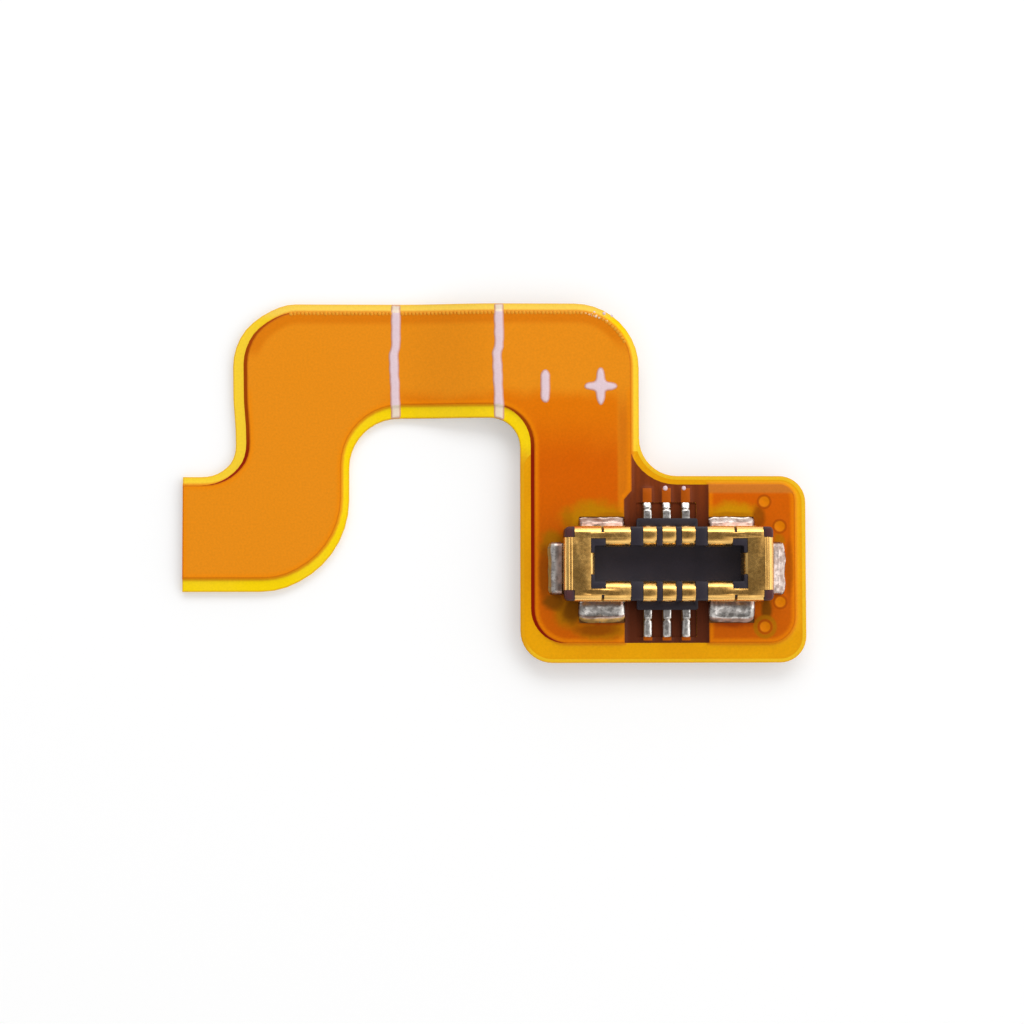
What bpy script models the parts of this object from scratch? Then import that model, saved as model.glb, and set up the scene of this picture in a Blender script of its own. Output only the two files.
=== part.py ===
# Battery tail: a two-layer flexible circuit that carries a low board-to-board plug.
# Metres, +Z up. The origin lies under the plug's centre, on the stiffener's underside.
# Seen from above, the tail leaves the plug upwards, crosses to the left, drops and ends in a cut edge.

import math

import bmesh
import bpy

MM = 0.001

# Plan of the film. The landing is the widened end that the plug stands on.
LANDING_PAST_LEFT_END = 0.78 * MM  # film beyond each side of the plug's housing
LANDING_PAST_RIGHT_END = 0.67 * MM
LANDING_BELOW_HOUSING = 1.125 * MM
LANDING_ABOVE_HOUSING = 0.945 * MM
LEG_WIDTH = 2.17 * MM  # the strip that rises from the landing
LEG_RISE = 1.07 * MM
CROSS_WIDTH = 2.09 * MM  # the strip that runs across the top
NOTCH_WIDTH = 3.12 * MM  # free space between the two upright strips
DROP_WIDTH = 2.16 * MM  # the strip that comes down again on the left
DROP_LENGTH = 1.08 * MM
STUB_WIDTH = 2.09 * MM  # the end that runs on to the battery
STUB_LENGTH = 0.86 * MM

# Corner radii of the film
STUB_OUTER_RADIUS = 1.67 * MM
NOTCH_LEFT_RADIUS = 0.91 * MM
NOTCH_RIGHT_RADIUS = 0.55 * MM
LANDING_LEFT_RADIUS = 0.58 * MM
LANDING_RIGHT_RADIUS = 0.48 * MM
SHOULDER_RADIUS = 0.69 * MM
CROSS_RIGHT_RADIUS = 1.18 * MM
CROSS_LEFT_RADIUS = 1.15 * MM
STUB_INNER_RADIUS = 0.58 * MM

# Layers
STIFFENER_THICKNESS = 0.20 * MM
ADHESIVE_THICKNESS = 0.025 * MM
COVERLAY_THICKNESS = 0.030 * MM
COPPER_THICKNESS = 0.035 * MM
BASE_THICKNESS = 0.025 * MM
INK_THICKNESS = 0.012 * MM
BOND_GAP = 0.002 * MM  # left between any two pieces that are bonded or seated

# Copper
COPPER_MARGIN = 0.20 * MM  # film left bare along every edge
LANDING_COPPER_MARGIN = 0.36 * MM  # the wider margin at the landing's lower edge
UPPER_COPPER_SHIFT = 0.055 * MM  # how far each etched pattern sits right of the punched outline
LOWER_COPPER_SHIFT = -0.010 * MM
COPPER_SHIFT_Y = 0.045 * MM
POWER_GAP = 1.544 * MM  # bare film between the negative and the positive copper
JOG_BELOW_LANDING_TOP = 0.43 * MM
JOG_HEIGHT = 0.16 * MM
LANDING_COPPER_LEFT_RADIUS = 0.62 * MM
LANDING_COPPER_RIGHT_RADIUS = 0.47 * MM

# Solder pads, laid out round a centre that lies a little below the plug's own
PATTERN_BELOW_PLUG = 0.10 * MM
SIGNAL_PAD_WIDTH = 0.16 * MM
SIGNAL_PAD_PAST_SOLDER = 0.145 * MM
COPPER_PAD_GAP = 0.10 * MM  # least bare film between a signal pad and the copper beside it
SIGNAL_WINDOW_MARGIN = 0.14 * MM  # open film beside the outer signal pads
WINDOW_PAST_SOLDER = 0.01 * MM
POWER_WINDOW_MARGIN = 0.04 * MM  # open film beside the power joints
WINDOW_RADIUS = 0.05 * MM
WINDOW_PAST_COPPER = 0.03 * MM

# Plated holes that join the positive pad to the copper below
VIA_DRILL = 0.20 * MM
VIA_WALL = 0.02 * MM
VIA_INNER_FROM_EDGE = 0.76 * MM  # from the landing's right edge
VIA_OUTER_FROM_EDGE = 0.48 * MM
VIA_INNER_PAST_HOUSING = 0.475 * MM  # beyond the housing's long sides
VIA_OUTER_PAST_HOUSING = 0.025 * MM

# Stiffener under the landing
STIFFENER_INSET = 0.07 * MM
STIFFENER_REACH_UP_LEG = 0.52 * MM
STIFFENER_TIP_RADIUS = 0.30 * MM
ADHESIVE_INSET = 0.02 * MM

# Plug housing
HOUSING_LENGTH = 3.76 * MM
HOUSING_WIDTH = 1.33 * MM
HOUSING_HEIGHT = 0.485 * MM
HOUSING_RADIUS = 0.08 * MM
HOUSING_CHAMFER = 0.03 * MM
HOUSING_FLOOR = 0.08 * MM
END_WALL = 0.53 * MM
SIDE_WALL = 0.34 * MM
CAVITY_RADIUS = 0.03 * MM
TAB_LENGTH = 1.11 * MM  # the ledge that the signal feet come out of
TAB_DEPTH = 0.165 * MM
TAB_HEIGHT = 0.12 * MM

# Signal contacts
SIGNALS_PER_ROW = 3
CONTACT_PITCH = 0.35 * MM
CONTACT_WIDTH = 0.24 * MM
CONTACT_FOOT_WIDTH = 0.12 * MM
CONTACT_FOOT_LENGTH = 0.31 * MM
CONTACT_OUTER_RADIUS = 0.10 * MM
CONTACT_INNER_RADIUS = 0.17 * MM

# All contacts
SHEET = 0.06 * MM  # thickness of the stamped metal
PLUG_HEIGHT = 0.50 * MM
CONTACT_PROUD = 0.015 * MM  # how far the metal stands out of the plastic, outside and in the cavity
CONTACT_TIP_ABOVE_FLOOR = 0.05 * MM
FOOT_RADIUS = 0.05 * MM

# Power contacts
POWER_BEND_RADIUS = 0.12 * MM
PLASTIC_CORNER = 0.176 * MM  # left bare at each outer corner, along the plug
PLASTIC_CORNER_WIDTH = 0.19 * MM  # and across it
PLATE_PAST_CAVITY = 0.065 * MM
PLATE_PAST_CAVITY_SIDE = 0.131 * MM
POWER_ARM_PAST_TAB = 0.141 * MM
LIP_FROM_CAVITY_END = 0.205 * MM
LIP_FROM_CAVITY_SIDE = 0.13 * MM
ARM_FOOT_FROM_CORNER = 0.124 * MM
ARM_FOOT_FROM_ARM_END = 0.094 * MM
ARM_FOOT_LENGTH = 0.08 * MM
END_FOOT_NARROWER = 0.20 * MM
END_FOOT_LENGTH = 0.115 * MM
ARM_SLIT_WIDTH = 0.05 * MM

# Solder
SIGNAL_SOLDER_WIDTH = 0.15 * MM
SIGNAL_SOLDER_LENGTH = 0.25 * MM  # from the end of the foot to the bead's toe
POWER_SOLDER_LENGTH = 0.19 * MM
END_SOLDER_LENGTH = 0.14 * MM
END_SOLDER_SPREAD = 0.055 * MM  # beyond each side of the end feet
SOLDER_TOE = 0.012 * MM
SOLDER_CLIMB = 0.05 * MM  # how high a bead stands above the sole of its foot
SOLDER_TUCK = 0.12 * MM  # how far it reaches back under the foot

# Printed lines that mark where the tail bends
BEND_LINE_WIDTH = 0.18 * MM
RIGHT_LINE_FROM_LEG = 0.385 * MM  # centre of the right line, left of the upright strip
BEND_LENGTH = 1.885 * MM  # from one line's centre to the other's
LINE_KINK = 0.04 * MM
LINE_KINK_BELOW_TOP = 0.80 * MM
LINE_KINK_LENGTH = 0.10 * MM

# Printed polarity signs
MARK_STROKE = 0.18 * MM
MARK_TIP = 0.07 * MM  # width of a stroke at its ends
MARK_TAPER = 0.08 * MM  # length over which it narrows there
PLUS_ARM = 0.14 * MM  # width of the cross's arms
MINUS_LENGTH = 0.62 * MM
PLUS_LENGTH = 0.62 * MM
PLUS_HEIGHT = 0.70 * MM
MARK_ABOVE_CROSS = 0.57 * MM  # from the strip's lower edge up to both centres
MINUS_FROM_LEG_RIGHT = 1.71 * MM
MARK_SPACING = 1.01 * MM

# Facets
GRID_DECIMALS = 8  # corners sit on a grid of this many decimals of a metre, so that flush faces are flush
FILM_ARC_STEPS = 10  # per quarter turn
METAL_ARC_STEPS = 5
VIA_SIDES = 20
BEND_STEPS = 10

# Faces of the plug, from its centre lines
housing_end = HOUSING_LENGTH / 2
housing_side = HOUSING_WIDTH / 2
cavity_end = housing_end - END_WALL
cavity_side = housing_side - SIDE_WALL
tab_reach = housing_side + TAB_DEPTH
outer_face = housing_side + CONTACT_PROUD
inner_face = cavity_side - CONTACT_PROUD
signal_foot_end = outer_face + CONTACT_FOOT_LENGTH
power_end = housing_end + CONTACT_PROUD
power_cavity_face = cavity_end - CONTACT_PROUD
power_corner = housing_end - PLASTIC_CORNER
power_arm_end = TAB_LENGTH / 2 + POWER_ARM_PAST_TAB
plate_edge_x = cavity_end + PLATE_PAST_CAVITY
plate_edge_y = cavity_side + PLATE_PAST_CAVITY_SIDE
lip_start = cavity_end - LIP_FROM_CAVITY_END
arm_foot_start = power_corner - ARM_FOOT_FROM_CORNER
arm_foot_end = power_arm_end + ARM_FOOT_FROM_ARM_END
arm_foot_reach = outer_face + ARM_FOOT_LENGTH
end_strap_width = HOUSING_WIDTH - 2 * PLASTIC_CORNER_WIDTH
end_foot_width = end_strap_width - END_FOOT_NARROWER
end_foot_reach = power_end + END_FOOT_LENGTH
end_solder_half = end_foot_width / 2 + END_SOLDER_SPREAD
cavity_strap_width = 2 * (cavity_side - LIP_FROM_CAVITY_SIDE)
arm_slit_x = (power_corner + power_arm_end) / 2

# Toes of the solder, from the pad pattern's centre
signal_solder_reach = signal_foot_end + SIGNAL_SOLDER_LENGTH
power_solder_reach = arm_foot_reach + POWER_SOLDER_LENGTH
end_solder_reach = end_foot_reach + END_SOLDER_LENGTH

# Edges of the film
landing_left = -housing_end - LANDING_PAST_LEFT_END
landing_right = housing_end + LANDING_PAST_RIGHT_END
landing_bottom = -housing_side - LANDING_BELOW_HOUSING
landing_top = housing_side + LANDING_ABOVE_HOUSING
leg_right = landing_left + LEG_WIDTH
cross_bottom = landing_top + LEG_RISE
cross_top = cross_bottom + CROSS_WIDTH
drop_right = landing_left - NOTCH_WIDTH
drop_left = drop_right - DROP_WIDTH
stub_top = cross_bottom - DROP_LENGTH
stub_bottom = stub_top - STUB_WIDTH
cut_end = drop_left - STUB_LENGTH

# Heights at the landing, from the floor up
adhesive_low = STIFFENER_THICKNESS + BOND_GAP
underside = adhesive_low + ADHESIVE_THICKNESS + BOND_GAP
lower_copper_low = underside + COVERLAY_THICKNESS + BOND_GAP
lower_copper_high = lower_copper_low + COPPER_THICKNESS
base_low = lower_copper_high + BOND_GAP
base_high = base_low + BASE_THICKNESS
upper_copper_low = base_high + BOND_GAP
upper_copper_high = upper_copper_low + COPPER_THICKNESS
top_film_low = upper_copper_high + BOND_GAP
top_film_high = top_film_low + COVERLAY_THICKNESS
plug_base = top_film_high + BOND_GAP
plug_top = plug_base + PLUG_HEIGHT
cavity_floor = plug_base + HOUSING_FLOOR

pattern_y = -PATTERN_BELOW_PLUG
right_line_x = landing_left - RIGHT_LINE_FROM_LEG
left_line_x = right_line_x - BEND_LENGTH

# Corners of the film, anticlockwise from the cut end: x, y, radius. The inside is on the left.
FILM_CORNERS = [
    (cut_end, stub_bottom, 0.0),
    (drop_right, stub_bottom, STUB_OUTER_RADIUS),
    (drop_right, cross_bottom, NOTCH_LEFT_RADIUS),
    (landing_left, cross_bottom, NOTCH_RIGHT_RADIUS),
    (landing_left, landing_bottom, LANDING_LEFT_RADIUS),
    (landing_right, landing_bottom, LANDING_RIGHT_RADIUS),
    (landing_right, landing_top, LANDING_RIGHT_RADIUS),
    (leg_right, landing_top, SHOULDER_RADIUS),
    (leg_right, cross_top, CROSS_RIGHT_RADIUS),
    (drop_left, cross_top, CROSS_LEFT_RADIUS),
    (drop_left, stub_top, STUB_INNER_RADIUS),
    (cut_end, stub_top, 0.0),
]


def unit(x, y):
    length = math.hypot(x, y)
    return x / length, y / length


def rounded(corners, steps, is_closed=True):
    """The points of an outline or a path whose corners, given as x, y, radius, are turned into arcs."""
    points = []
    for i, (x, y, radius) in enumerate(corners):
        is_end = not is_closed and i in (0, len(corners) - 1)
        if is_end or radius <= 0:
            points.append((x, y))
            continue
        before = corners[i - 1]
        after = corners[(i + 1) % len(corners)]
        back = unit(before[0] - x, before[1] - y)
        ahead = unit(after[0] - x, after[1] - y)
        half = math.acos(max(-1.0, min(1.0, back[0] * ahead[0] + back[1] * ahead[1]))) / 2
        middle = unit(back[0] + ahead[0], back[1] + ahead[1])
        centre = (x + middle[0] * radius / math.sin(half), y + middle[1] * radius / math.sin(half))
        tangent = radius / math.tan(half)
        start = math.atan2(y + back[1] * tangent - centre[1], x + back[0] * tangent - centre[0])
        end = math.atan2(y + ahead[1] * tangent - centre[1], x + ahead[0] * tangent - centre[0])
        sweep = (end - start + math.pi) % (2 * math.pi) - math.pi
        count = max(2, round(steps * abs(sweep) / (math.pi / 2)))
        for k in range(count + 1):
            angle = start + sweep * k / count
            points.append((centre[0] + radius * math.cos(angle), centre[1] + radius * math.sin(angle)))
    return points


def inset(corners, distance, shift_x=0.0, shift_y=0.0):
    """Corners of a right-angled outline moved inwards, each radius changed to match."""
    moved = []
    for i, (x, y, radius) in enumerate(corners):
        before = corners[i - 1]
        after = corners[(i + 1) % len(corners)]
        arrive = unit(x - before[0], y - before[1])
        leave = unit(after[0] - x, after[1] - y)
        is_convex = arrive[0] * leave[1] - arrive[1] * leave[0] > 0
        if radius > 0:
            radius = max(radius - distance if is_convex else radius + distance, 0.0)
        moved.append(
            (
                x + distance * (-arrive[1] - leave[1]) + shift_x,
                y + distance * (arrive[0] + leave[0]) + shift_y,
                radius,
            )
        )
    return moved


def ending_at(corners, x):
    """The same corners, with the first and the last, at the cut end, put at x."""
    return [(x, *corners[0][1:]), *corners[1:-1], (x, *corners[-1][1:])]


def rectangle(x0, x1, y0, y1, radius=0.0):
    return [(x0, y0, radius), (x1, y0, radius), (x1, y1, radius), (x0, y1, radius)]


def circle(x, y, radius):
    angles = [2 * math.pi * k / VIA_SIDES for k in range(VIA_SIDES)]
    return [(x + radius * math.cos(a), y + radius * math.sin(a)) for a in angles]


def loft(bm, rings):
    """Adds one closed body through rings of points that run anticlockwise, from the lowest up."""
    rows = [[bm.verts.new([round(c, GRID_DECIMALS) for c in point]) for point in ring] for ring in rings]
    bm.faces.new(reversed(rows[0]))
    bm.faces.new(rows[-1])
    for low, high in zip(rows, rows[1:]):
        for i in range(len(low)):
            j = (i + 1) % len(low)
            bm.faces.new((low[i], low[j], high[j], high[i]))


def prism(bm, outline, low, high):
    loft(bm, [[(x, y, z) for x, y in outline] for z in (low, high)])


def swept(bm, profile, out, along, start, end):
    """Adds a profile of points (s, z), s running outwards along out, drawn along the other direction."""
    rings = [
        [(out[0] * s + along[0] * t, out[1] * s + along[1] * t, z) for s, z in profile]
        for t in (start, end)
    ]
    before = set(bm.faces)
    loft(bm, rings)
    bmesh.ops.recalc_face_normals(bm, faces=[face for face in bm.faces if face not in before])


def made(name, bm, material=None):
    mesh = bpy.data.meshes.new(name)
    bm.to_mesh(mesh)
    bm.free()
    obj = bpy.data.objects.new(name, mesh)
    bpy.context.scene.collection.objects.link(obj)
    if material:
        mesh.materials.append(material)
    return obj


def prism_object(name, outline, low, high, material=None):
    bm = bmesh.new()
    prism(bm, outline, low, high)
    return made(name, bm, material)


def combine(obj, tool, operation):
    """Joins, cuts or keeps what obj shares with tool, and takes the tool away."""
    modifier = obj.modifiers.new(operation.title(), "BOOLEAN")
    modifier.operation = operation
    modifier.solver = "EXACT"
    modifier.object = tool
    graph = bpy.context.evaluated_depsgraph_get()
    result = bpy.data.meshes.new_from_object(obj.evaluated_get(graph))
    obj.modifiers.clear()
    old = obj.data
    result.name = old.name
    obj.data = result
    bpy.data.meshes.remove(old)
    bpy.data.objects.remove(tool)


def smooth(obj, angle=35.0):
    obj.data.shade_smooth()
    obj.data.set_sharp_from_angle(angle=math.radians(angle))


def finish(name, colour, roughness, metallic=0.0):
    material = bpy.data.materials.new(name)
    material.use_nodes = True
    shader = material.node_tree.nodes["Principled BSDF"]
    shader.inputs["Base Color"].default_value = (*colour, 1.0)
    shader.inputs["Roughness"].default_value = roughness
    shader.inputs["Metallic"].default_value = metallic
    material.diffuse_color = (*colour, 1.0)
    return material


# The bend: the tail comes down from the stiffener's height to the floor between its two printed lines


def bend_stations():
    """Where the bend changes slope, and how far the tail has dropped there."""
    stations = []
    for k in range(BEND_STEPS + 1):
        share = k / BEND_STEPS
        x = right_line_x - BEND_LENGTH * share
        stations.append((x, underside * (1 - math.cos(math.pi * share)) / 2))
    return stations


def dropped(x, stations):
    if x >= stations[0][0]:
        return 0.0
    for (right, less), (left, more) in zip(stations, stations[1:]):
        if x >= left:
            return less + (more - less) * (right - x) / (right - left)
    return stations[-1][1]


def bend(obj):
    """Cuts a flat layer at every station and lets it down, so that all layers bend on the same planes."""
    stations = bend_stations()
    bm = bmesh.new()
    bm.from_mesh(obj.data)
    for x, _ in stations:
        everything = bm.verts[:] + bm.edges[:] + bm.faces[:]
        bmesh.ops.bisect_plane(bm, geom=everything, plane_co=(x, 0, 0), plane_no=(1, 0, 0))
    for vertex in bm.verts:
        vertex.co.z -= dropped(vertex.co.x, stations)
    bmesh.ops.triangulate(bm, faces=bm.faces)
    bm.to_mesh(obj.data)
    bm.free()


# Flexible circuit


def negative_copper_corners():
    """The upper copper: the whole strip and the landing's left part, with a jog in its right edge."""
    edge_x = -POWER_GAP / 2
    corners = ending_at(inset(FILM_CORNERS, COPPER_MARGIN, UPPER_COPPER_SHIFT, COPPER_SHIFT_Y), cut_end)
    low_y = landing_bottom + LANDING_COPPER_MARGIN
    jog_y = landing_top - JOG_BELOW_LANDING_TOP
    landing = [
        (corners[4][0], low_y, LANDING_COPPER_LEFT_RADIUS),
        (edge_x, low_y, 0.0),
        (edge_x, jog_y, 0.0),
        (corners[8][0], jog_y + JOG_HEIGHT, 0.0),
    ]
    return corners[:4] + landing + corners[8:]


def positive_copper_corners():
    """The lower copper: the same strip, and all of the landing."""
    corners = ending_at(inset(FILM_CORNERS, COPPER_MARGIN, LOWER_COPPER_SHIFT, COPPER_SHIFT_Y), cut_end)
    low_y = landing_bottom + LANDING_COPPER_MARGIN
    corners[4] = (corners[4][0], low_y, LANDING_COPPER_LEFT_RADIUS)
    corners[5] = (corners[5][0], low_y, LANDING_COPPER_RIGHT_RADIUS)
    return corners


def positive_pad_corners():
    """The upper copper at the landing's right."""
    left = POWER_GAP / 2
    right = landing_right - COPPER_MARGIN
    low_y = landing_bottom + LANDING_COPPER_MARGIN
    high_y = landing_top - COPPER_MARGIN + COPPER_SHIFT_Y
    return [
        (left, low_y, 0.0),
        (right, low_y, LANDING_COPPER_RIGHT_RADIUS),
        (right, high_y, LANDING_RIGHT_RADIUS - COPPER_MARGIN),
        (left, high_y, 0.0),
    ]


def signal_places():
    """Where each signal contact stands, and the side of the plug it is on."""
    for side in (1, -1):
        for i in range(SIGNALS_PER_ROW):
            yield (i - (SIGNALS_PER_ROW - 1) / 2) * CONTACT_PITCH, side


def signal_pads():
    """The corners of the strip of copper under each signal foot."""
    pads = []
    for x, side in signal_places():
        ends = sorted((side * tab_reach, side * (signal_solder_reach + SIGNAL_PAD_PAST_SOLDER)))
        pads.append(rectangle(x - SIGNAL_PAD_WIDTH / 2, x + SIGNAL_PAD_WIDTH / 2, *ends))
    return pads


def via_places():
    inner = landing_right - VIA_INNER_FROM_EDGE, housing_side + VIA_INNER_PAST_HOUSING
    outer = landing_right - VIA_OUTER_FROM_EDGE, housing_side + VIA_OUTER_PAST_HOUSING
    return [inner, outer, (outer[0], -outer[1]), (inner[0], -inner[1])]


def drill(obj, low, high):
    """Cuts the plated holes through a layer."""
    bm = bmesh.new()
    for x, y in via_places():
        prism(bm, circle(x, y, VIA_DRILL / 2 + BOND_GAP), low - VIA_DRILL, high + VIA_DRILL)
    combine(obj, made("drill", bm), "DIFFERENCE")


def windows():
    """Openings in the top film over the solder pads."""
    half_row = (SIGNALS_PER_ROW - 1) / 2 * CONTACT_PITCH + SIGNAL_PAD_WIDTH / 2 + SIGNAL_WINDOW_MARGIN
    reach = signal_solder_reach + WINDOW_PAST_SOLDER
    signals = rectangle(-half_row, half_row, pattern_y - reach, pattern_y + reach, WINDOW_RADIUS)
    outlines = [signals]
    for side in (-1, 1):
        near = side * (POWER_GAP / 2 - WINDOW_PAST_COPPER)
        far = side * (arm_foot_start + POWER_WINDOW_MARGIN)
        end = side * (end_solder_reach + WINDOW_PAST_SOLDER)
        half_end = end_solder_half + POWER_WINDOW_MARGIN
        reach = power_solder_reach + POWER_WINDOW_MARGIN
        upper = [
            (end, pattern_y + half_end, WINDOW_RADIUS),
            (far, pattern_y + half_end, WINDOW_RADIUS),
            (far, pattern_y + reach, WINDOW_RADIUS),
            (near, pattern_y + reach, WINDOW_RADIUS),
        ]
        lower = [(x, 2 * pattern_y - y, radius) for x, y, radius in reversed(upper)]
        corners = lower + upper
        outlines.append(corners if side > 0 else corners[::-1])
    return outlines


def copper_layers(copper):
    outline = rounded(negative_copper_corners(), FILM_ARC_STEPS)
    negative = prism_object("negative_copper", outline, upper_copper_low, upper_copper_high, copper)
    for corners in signal_pads():
        clear = rounded(inset(corners, -COPPER_PAD_GAP), FILM_ARC_STEPS)
        combine(negative, prism_object("clear", clear, base_low, top_film_low), "DIFFERENCE")
    bend(negative)

    positive = rounded(positive_copper_corners(), FILM_ARC_STEPS)
    lower = prism_object("positive_copper", positive, lower_copper_low, lower_copper_high, copper)
    drill(lower, lower_copper_low, lower_copper_high)
    bend(lower)

    pad = rounded(positive_pad_corners(), FILM_ARC_STEPS)
    upper = prism_object("positive_pad", pad, upper_copper_low, upper_copper_high, copper)
    drill(upper, upper_copper_low, upper_copper_high)

    for number, corners in enumerate(signal_pads(), start=1):
        outline = rounded(corners, FILM_ARC_STEPS)
        prism_object(f"signal_pad_{number}", outline, upper_copper_low, upper_copper_high, copper)


def via_barrels(copper):
    for number, (x, y) in enumerate(via_places(), start=1):
        outer = circle(x, y, VIA_DRILL / 2)
        barrel = prism_object(f"via_barrel_{number}", outer, lower_copper_low, upper_copper_high, copper)
        bore = circle(x, y, VIA_DRILL / 2 - VIA_WALL)
        tool = prism_object("bore", bore, lower_copper_low - VIA_DRILL, upper_copper_high + VIA_DRILL)
        combine(barrel, tool, "DIFFERENCE")
        smooth(barrel)


def base_film(film):
    outline = rounded(FILM_CORNERS, FILM_ARC_STEPS)
    base = prism_object("base_film", outline, base_low, base_high, film)
    drill(base, base_low, base_high)
    bend(base)


def bottom_coverlay(film):
    """Film over the lower copper, with a pocket that the copper lies in."""
    outline = rounded(FILM_CORNERS, FILM_ARC_STEPS)
    cover = prism_object("bottom_coverlay", outline, underside, lower_copper_high, film)
    pocket = ending_at(inset(positive_copper_corners(), -BOND_GAP), cut_end - COPPER_MARGIN)
    floor = lower_copper_low - BOND_GAP
    tool = prism_object("pocket", rounded(pocket, FILM_ARC_STEPS), floor, lower_copper_high + BASE_THICKNESS)
    combine(cover, tool, "DIFFERENCE")
    bend(cover)


def top_coverlay(film):
    """Film over the upper copper, with pockets for it and windows over the solder pads."""
    outline = rounded(FILM_CORNERS, FILM_ARC_STEPS)
    cover = prism_object("top_coverlay", outline, upper_copper_low, top_film_high, film)
    negative = ending_at(inset(negative_copper_corners(), -BOND_GAP), cut_end - COPPER_MARGIN)
    pockets = [negative, inset(positive_pad_corners(), -BOND_GAP)]
    pockets += [inset(corners, -BOND_GAP) for corners in signal_pads()]
    for corners in pockets:
        tool = prism_object("pocket", rounded(corners, FILM_ARC_STEPS), base_low, top_film_low)
        combine(cover, tool, "DIFFERENCE")
    for corners in windows():
        tool = prism_object("window", rounded(corners, METAL_ARC_STEPS), base_low, plug_base)
        combine(cover, tool, "DIFFERENCE")
    bend(cover)


def under_landing(name, distance, low, high, material):
    """A sheet under the landing and the foot of the upright strip, its edges inside the film's."""
    tip = landing_top + STIFFENER_REACH_UP_LEG
    block = [
        (landing_left, landing_bottom - LEG_RISE, 0.0),
        (landing_right, landing_bottom - LEG_RISE, 0.0),
        (landing_right, tip, 0.0),
        (landing_left, tip, STIFFENER_TIP_RADIUS + distance),
    ]
    outline = rounded(inset(block, distance), FILM_ARC_STEPS)
    sheet = prism_object(name, outline, low, high, material)
    film = rounded(inset(FILM_CORNERS, distance), FILM_ARC_STEPS)
    tool = prism_object("film", film, low - STIFFENER_THICKNESS, high + STIFFENER_THICKNESS)
    combine(sheet, tool, "INTERSECT")


def stiffener(board, glue):
    under_landing("stiffener", STIFFENER_INSET, 0.0, STIFFENER_THICKNESS, board)
    distance = STIFFENER_INSET + ADHESIVE_INSET
    high = adhesive_low + ADHESIVE_THICKNESS
    under_landing("stiffener_adhesive", distance, adhesive_low, high, glue)


def bend_lines(ink):
    """Two printed lines across the tail, each with the small kink of the print."""
    low = plug_base
    for name, x in (("bend_line_left", left_line_x), ("bend_line_right", right_line_x)):
        centres = [
            (x, cross_bottom - BEND_LINE_WIDTH),
            (x, cross_bottom + COPPER_MARGIN),
            (x - LINE_KINK, cross_top - LINE_KINK_BELOW_TOP - LINE_KINK_LENGTH),
            (x, cross_top - LINE_KINK_BELOW_TOP),
            (x, cross_top + BEND_LINE_WIDTH),
        ]
        right = [(cx + BEND_LINE_WIDTH / 2, y) for cx, y in centres]
        left = [(cx - BEND_LINE_WIDTH / 2, y) for cx, y in reversed(centres)]
        line = prism_object(name, right + left, low, low + INK_THICKNESS, ink)
        film = rounded(inset(FILM_CORNERS, BOND_GAP), FILM_ARC_STEPS)
        tool = prism_object("film", film, low - BEND_LINE_WIDTH, low + BEND_LINE_WIDTH)
        combine(line, tool, "INTERSECT")
        bend(line)


def polarity_marks(ink):
    """The negative sign, printed as an upright bar, and the positive sign, a cross."""
    low = plug_base
    high = low + INK_THICKNESS
    y = cross_bottom + MARK_ABOVE_CROSS
    x = leg_right - MINUS_FROM_LEG_RIGHT
    tall, wide, half = MINUS_LENGTH / 2, MARK_STROKE / 2, MARK_TIP / 2
    shoulder = tall - MARK_TAPER
    bar = [(-half, -tall), (half, -tall), (wide, -shoulder), (wide, shoulder), (half, tall)]
    bar += [(-half, tall), (-wide, shoulder), (-wide, -shoulder)]
    prism_object("negative_mark", [(x + px, y + py) for px, py in bar], low, high, ink)

    x += MARK_SPACING
    arm_x, arm_y, arm = PLUS_LENGTH / 2, PLUS_HEIGHT / 2, PLUS_ARM / 2
    cross = []
    for turn in range(4):
        reach = arm_x if turn % 2 == 0 else arm_y
        neck = reach - MARK_TAPER
        for px, py in ((neck, -arm), (reach, -half), (reach, half), (neck, arm), (wide, wide)):
            for _ in range(turn):
                px, py = -py, px
            cross.append((x + px, y + py))
    prism_object("positive_mark", cross, low, high, ink)


# Plug


def beside(path, distance):
    """A path moved to its right, with every stretch kept at that distance."""
    moved = []
    for i, (s, z) in enumerate(path):
        before = path[max(i - 1, 0)]
        after = path[min(i + 1, len(path) - 1)]
        arrive = unit(s - before[0], z - before[1]) if i else unit(after[0] - s, after[1] - z)
        leave = unit(after[0] - s, after[1] - z) if i < len(path) - 1 else arrive
        share = 1 + arrive[0] * leave[0] + arrive[1] * leave[1]
        moved.append(
            (s + distance * (arrive[1] + leave[1]) / share, z - distance * (arrive[0] + leave[0]) / share)
        )
    return moved


def strip_profile(path, grown=0.0):
    """The outline of bent sheet metal whose middle follows path, given as s, z, radius.

    The space that a strip is held in is grown by a clearance. It is square outside the bends
    to the left, the crests, so that no plastic stands beyond the metal there.
    """
    reach = SHEET / 2 + grown
    squared = list(path)
    if grown > 0:
        for i in range(1, len(path) - 1):
            (s0, z0), (s1, z1), (s2, z2) = path[i - 1][:2], path[i][:2], path[i + 1][:2]
            if (s1 - s0) * (z2 - z1) - (z1 - z0) * (s2 - s1) > 0:
                squared[i] = (s1, z1, 0.0)
    inner = beside(rounded(path, METAL_ARC_STEPS, is_closed=False), -reach)
    outer = beside(rounded(squared, METAL_ARC_STEPS, is_closed=False), reach)
    return inner + outer[::-1]


def signal_path(extra=0.0):
    """The middle line of a signal contact: foot, outer face, crest and inner face."""
    outer = outer_face - SHEET / 2
    inner = inner_face + SHEET / 2
    crest = plug_top - SHEET / 2
    foot = plug_base + SHEET / 2
    return [
        (signal_foot_end + extra, foot, 0.0),
        (outer, foot, FOOT_RADIUS),
        (outer, crest, CONTACT_OUTER_RADIUS),
        (inner, crest, CONTACT_INNER_RADIUS),
        (inner, cavity_floor + CONTACT_TIP_ABOVE_FLOOR - extra, 0.0),
    ]


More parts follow.
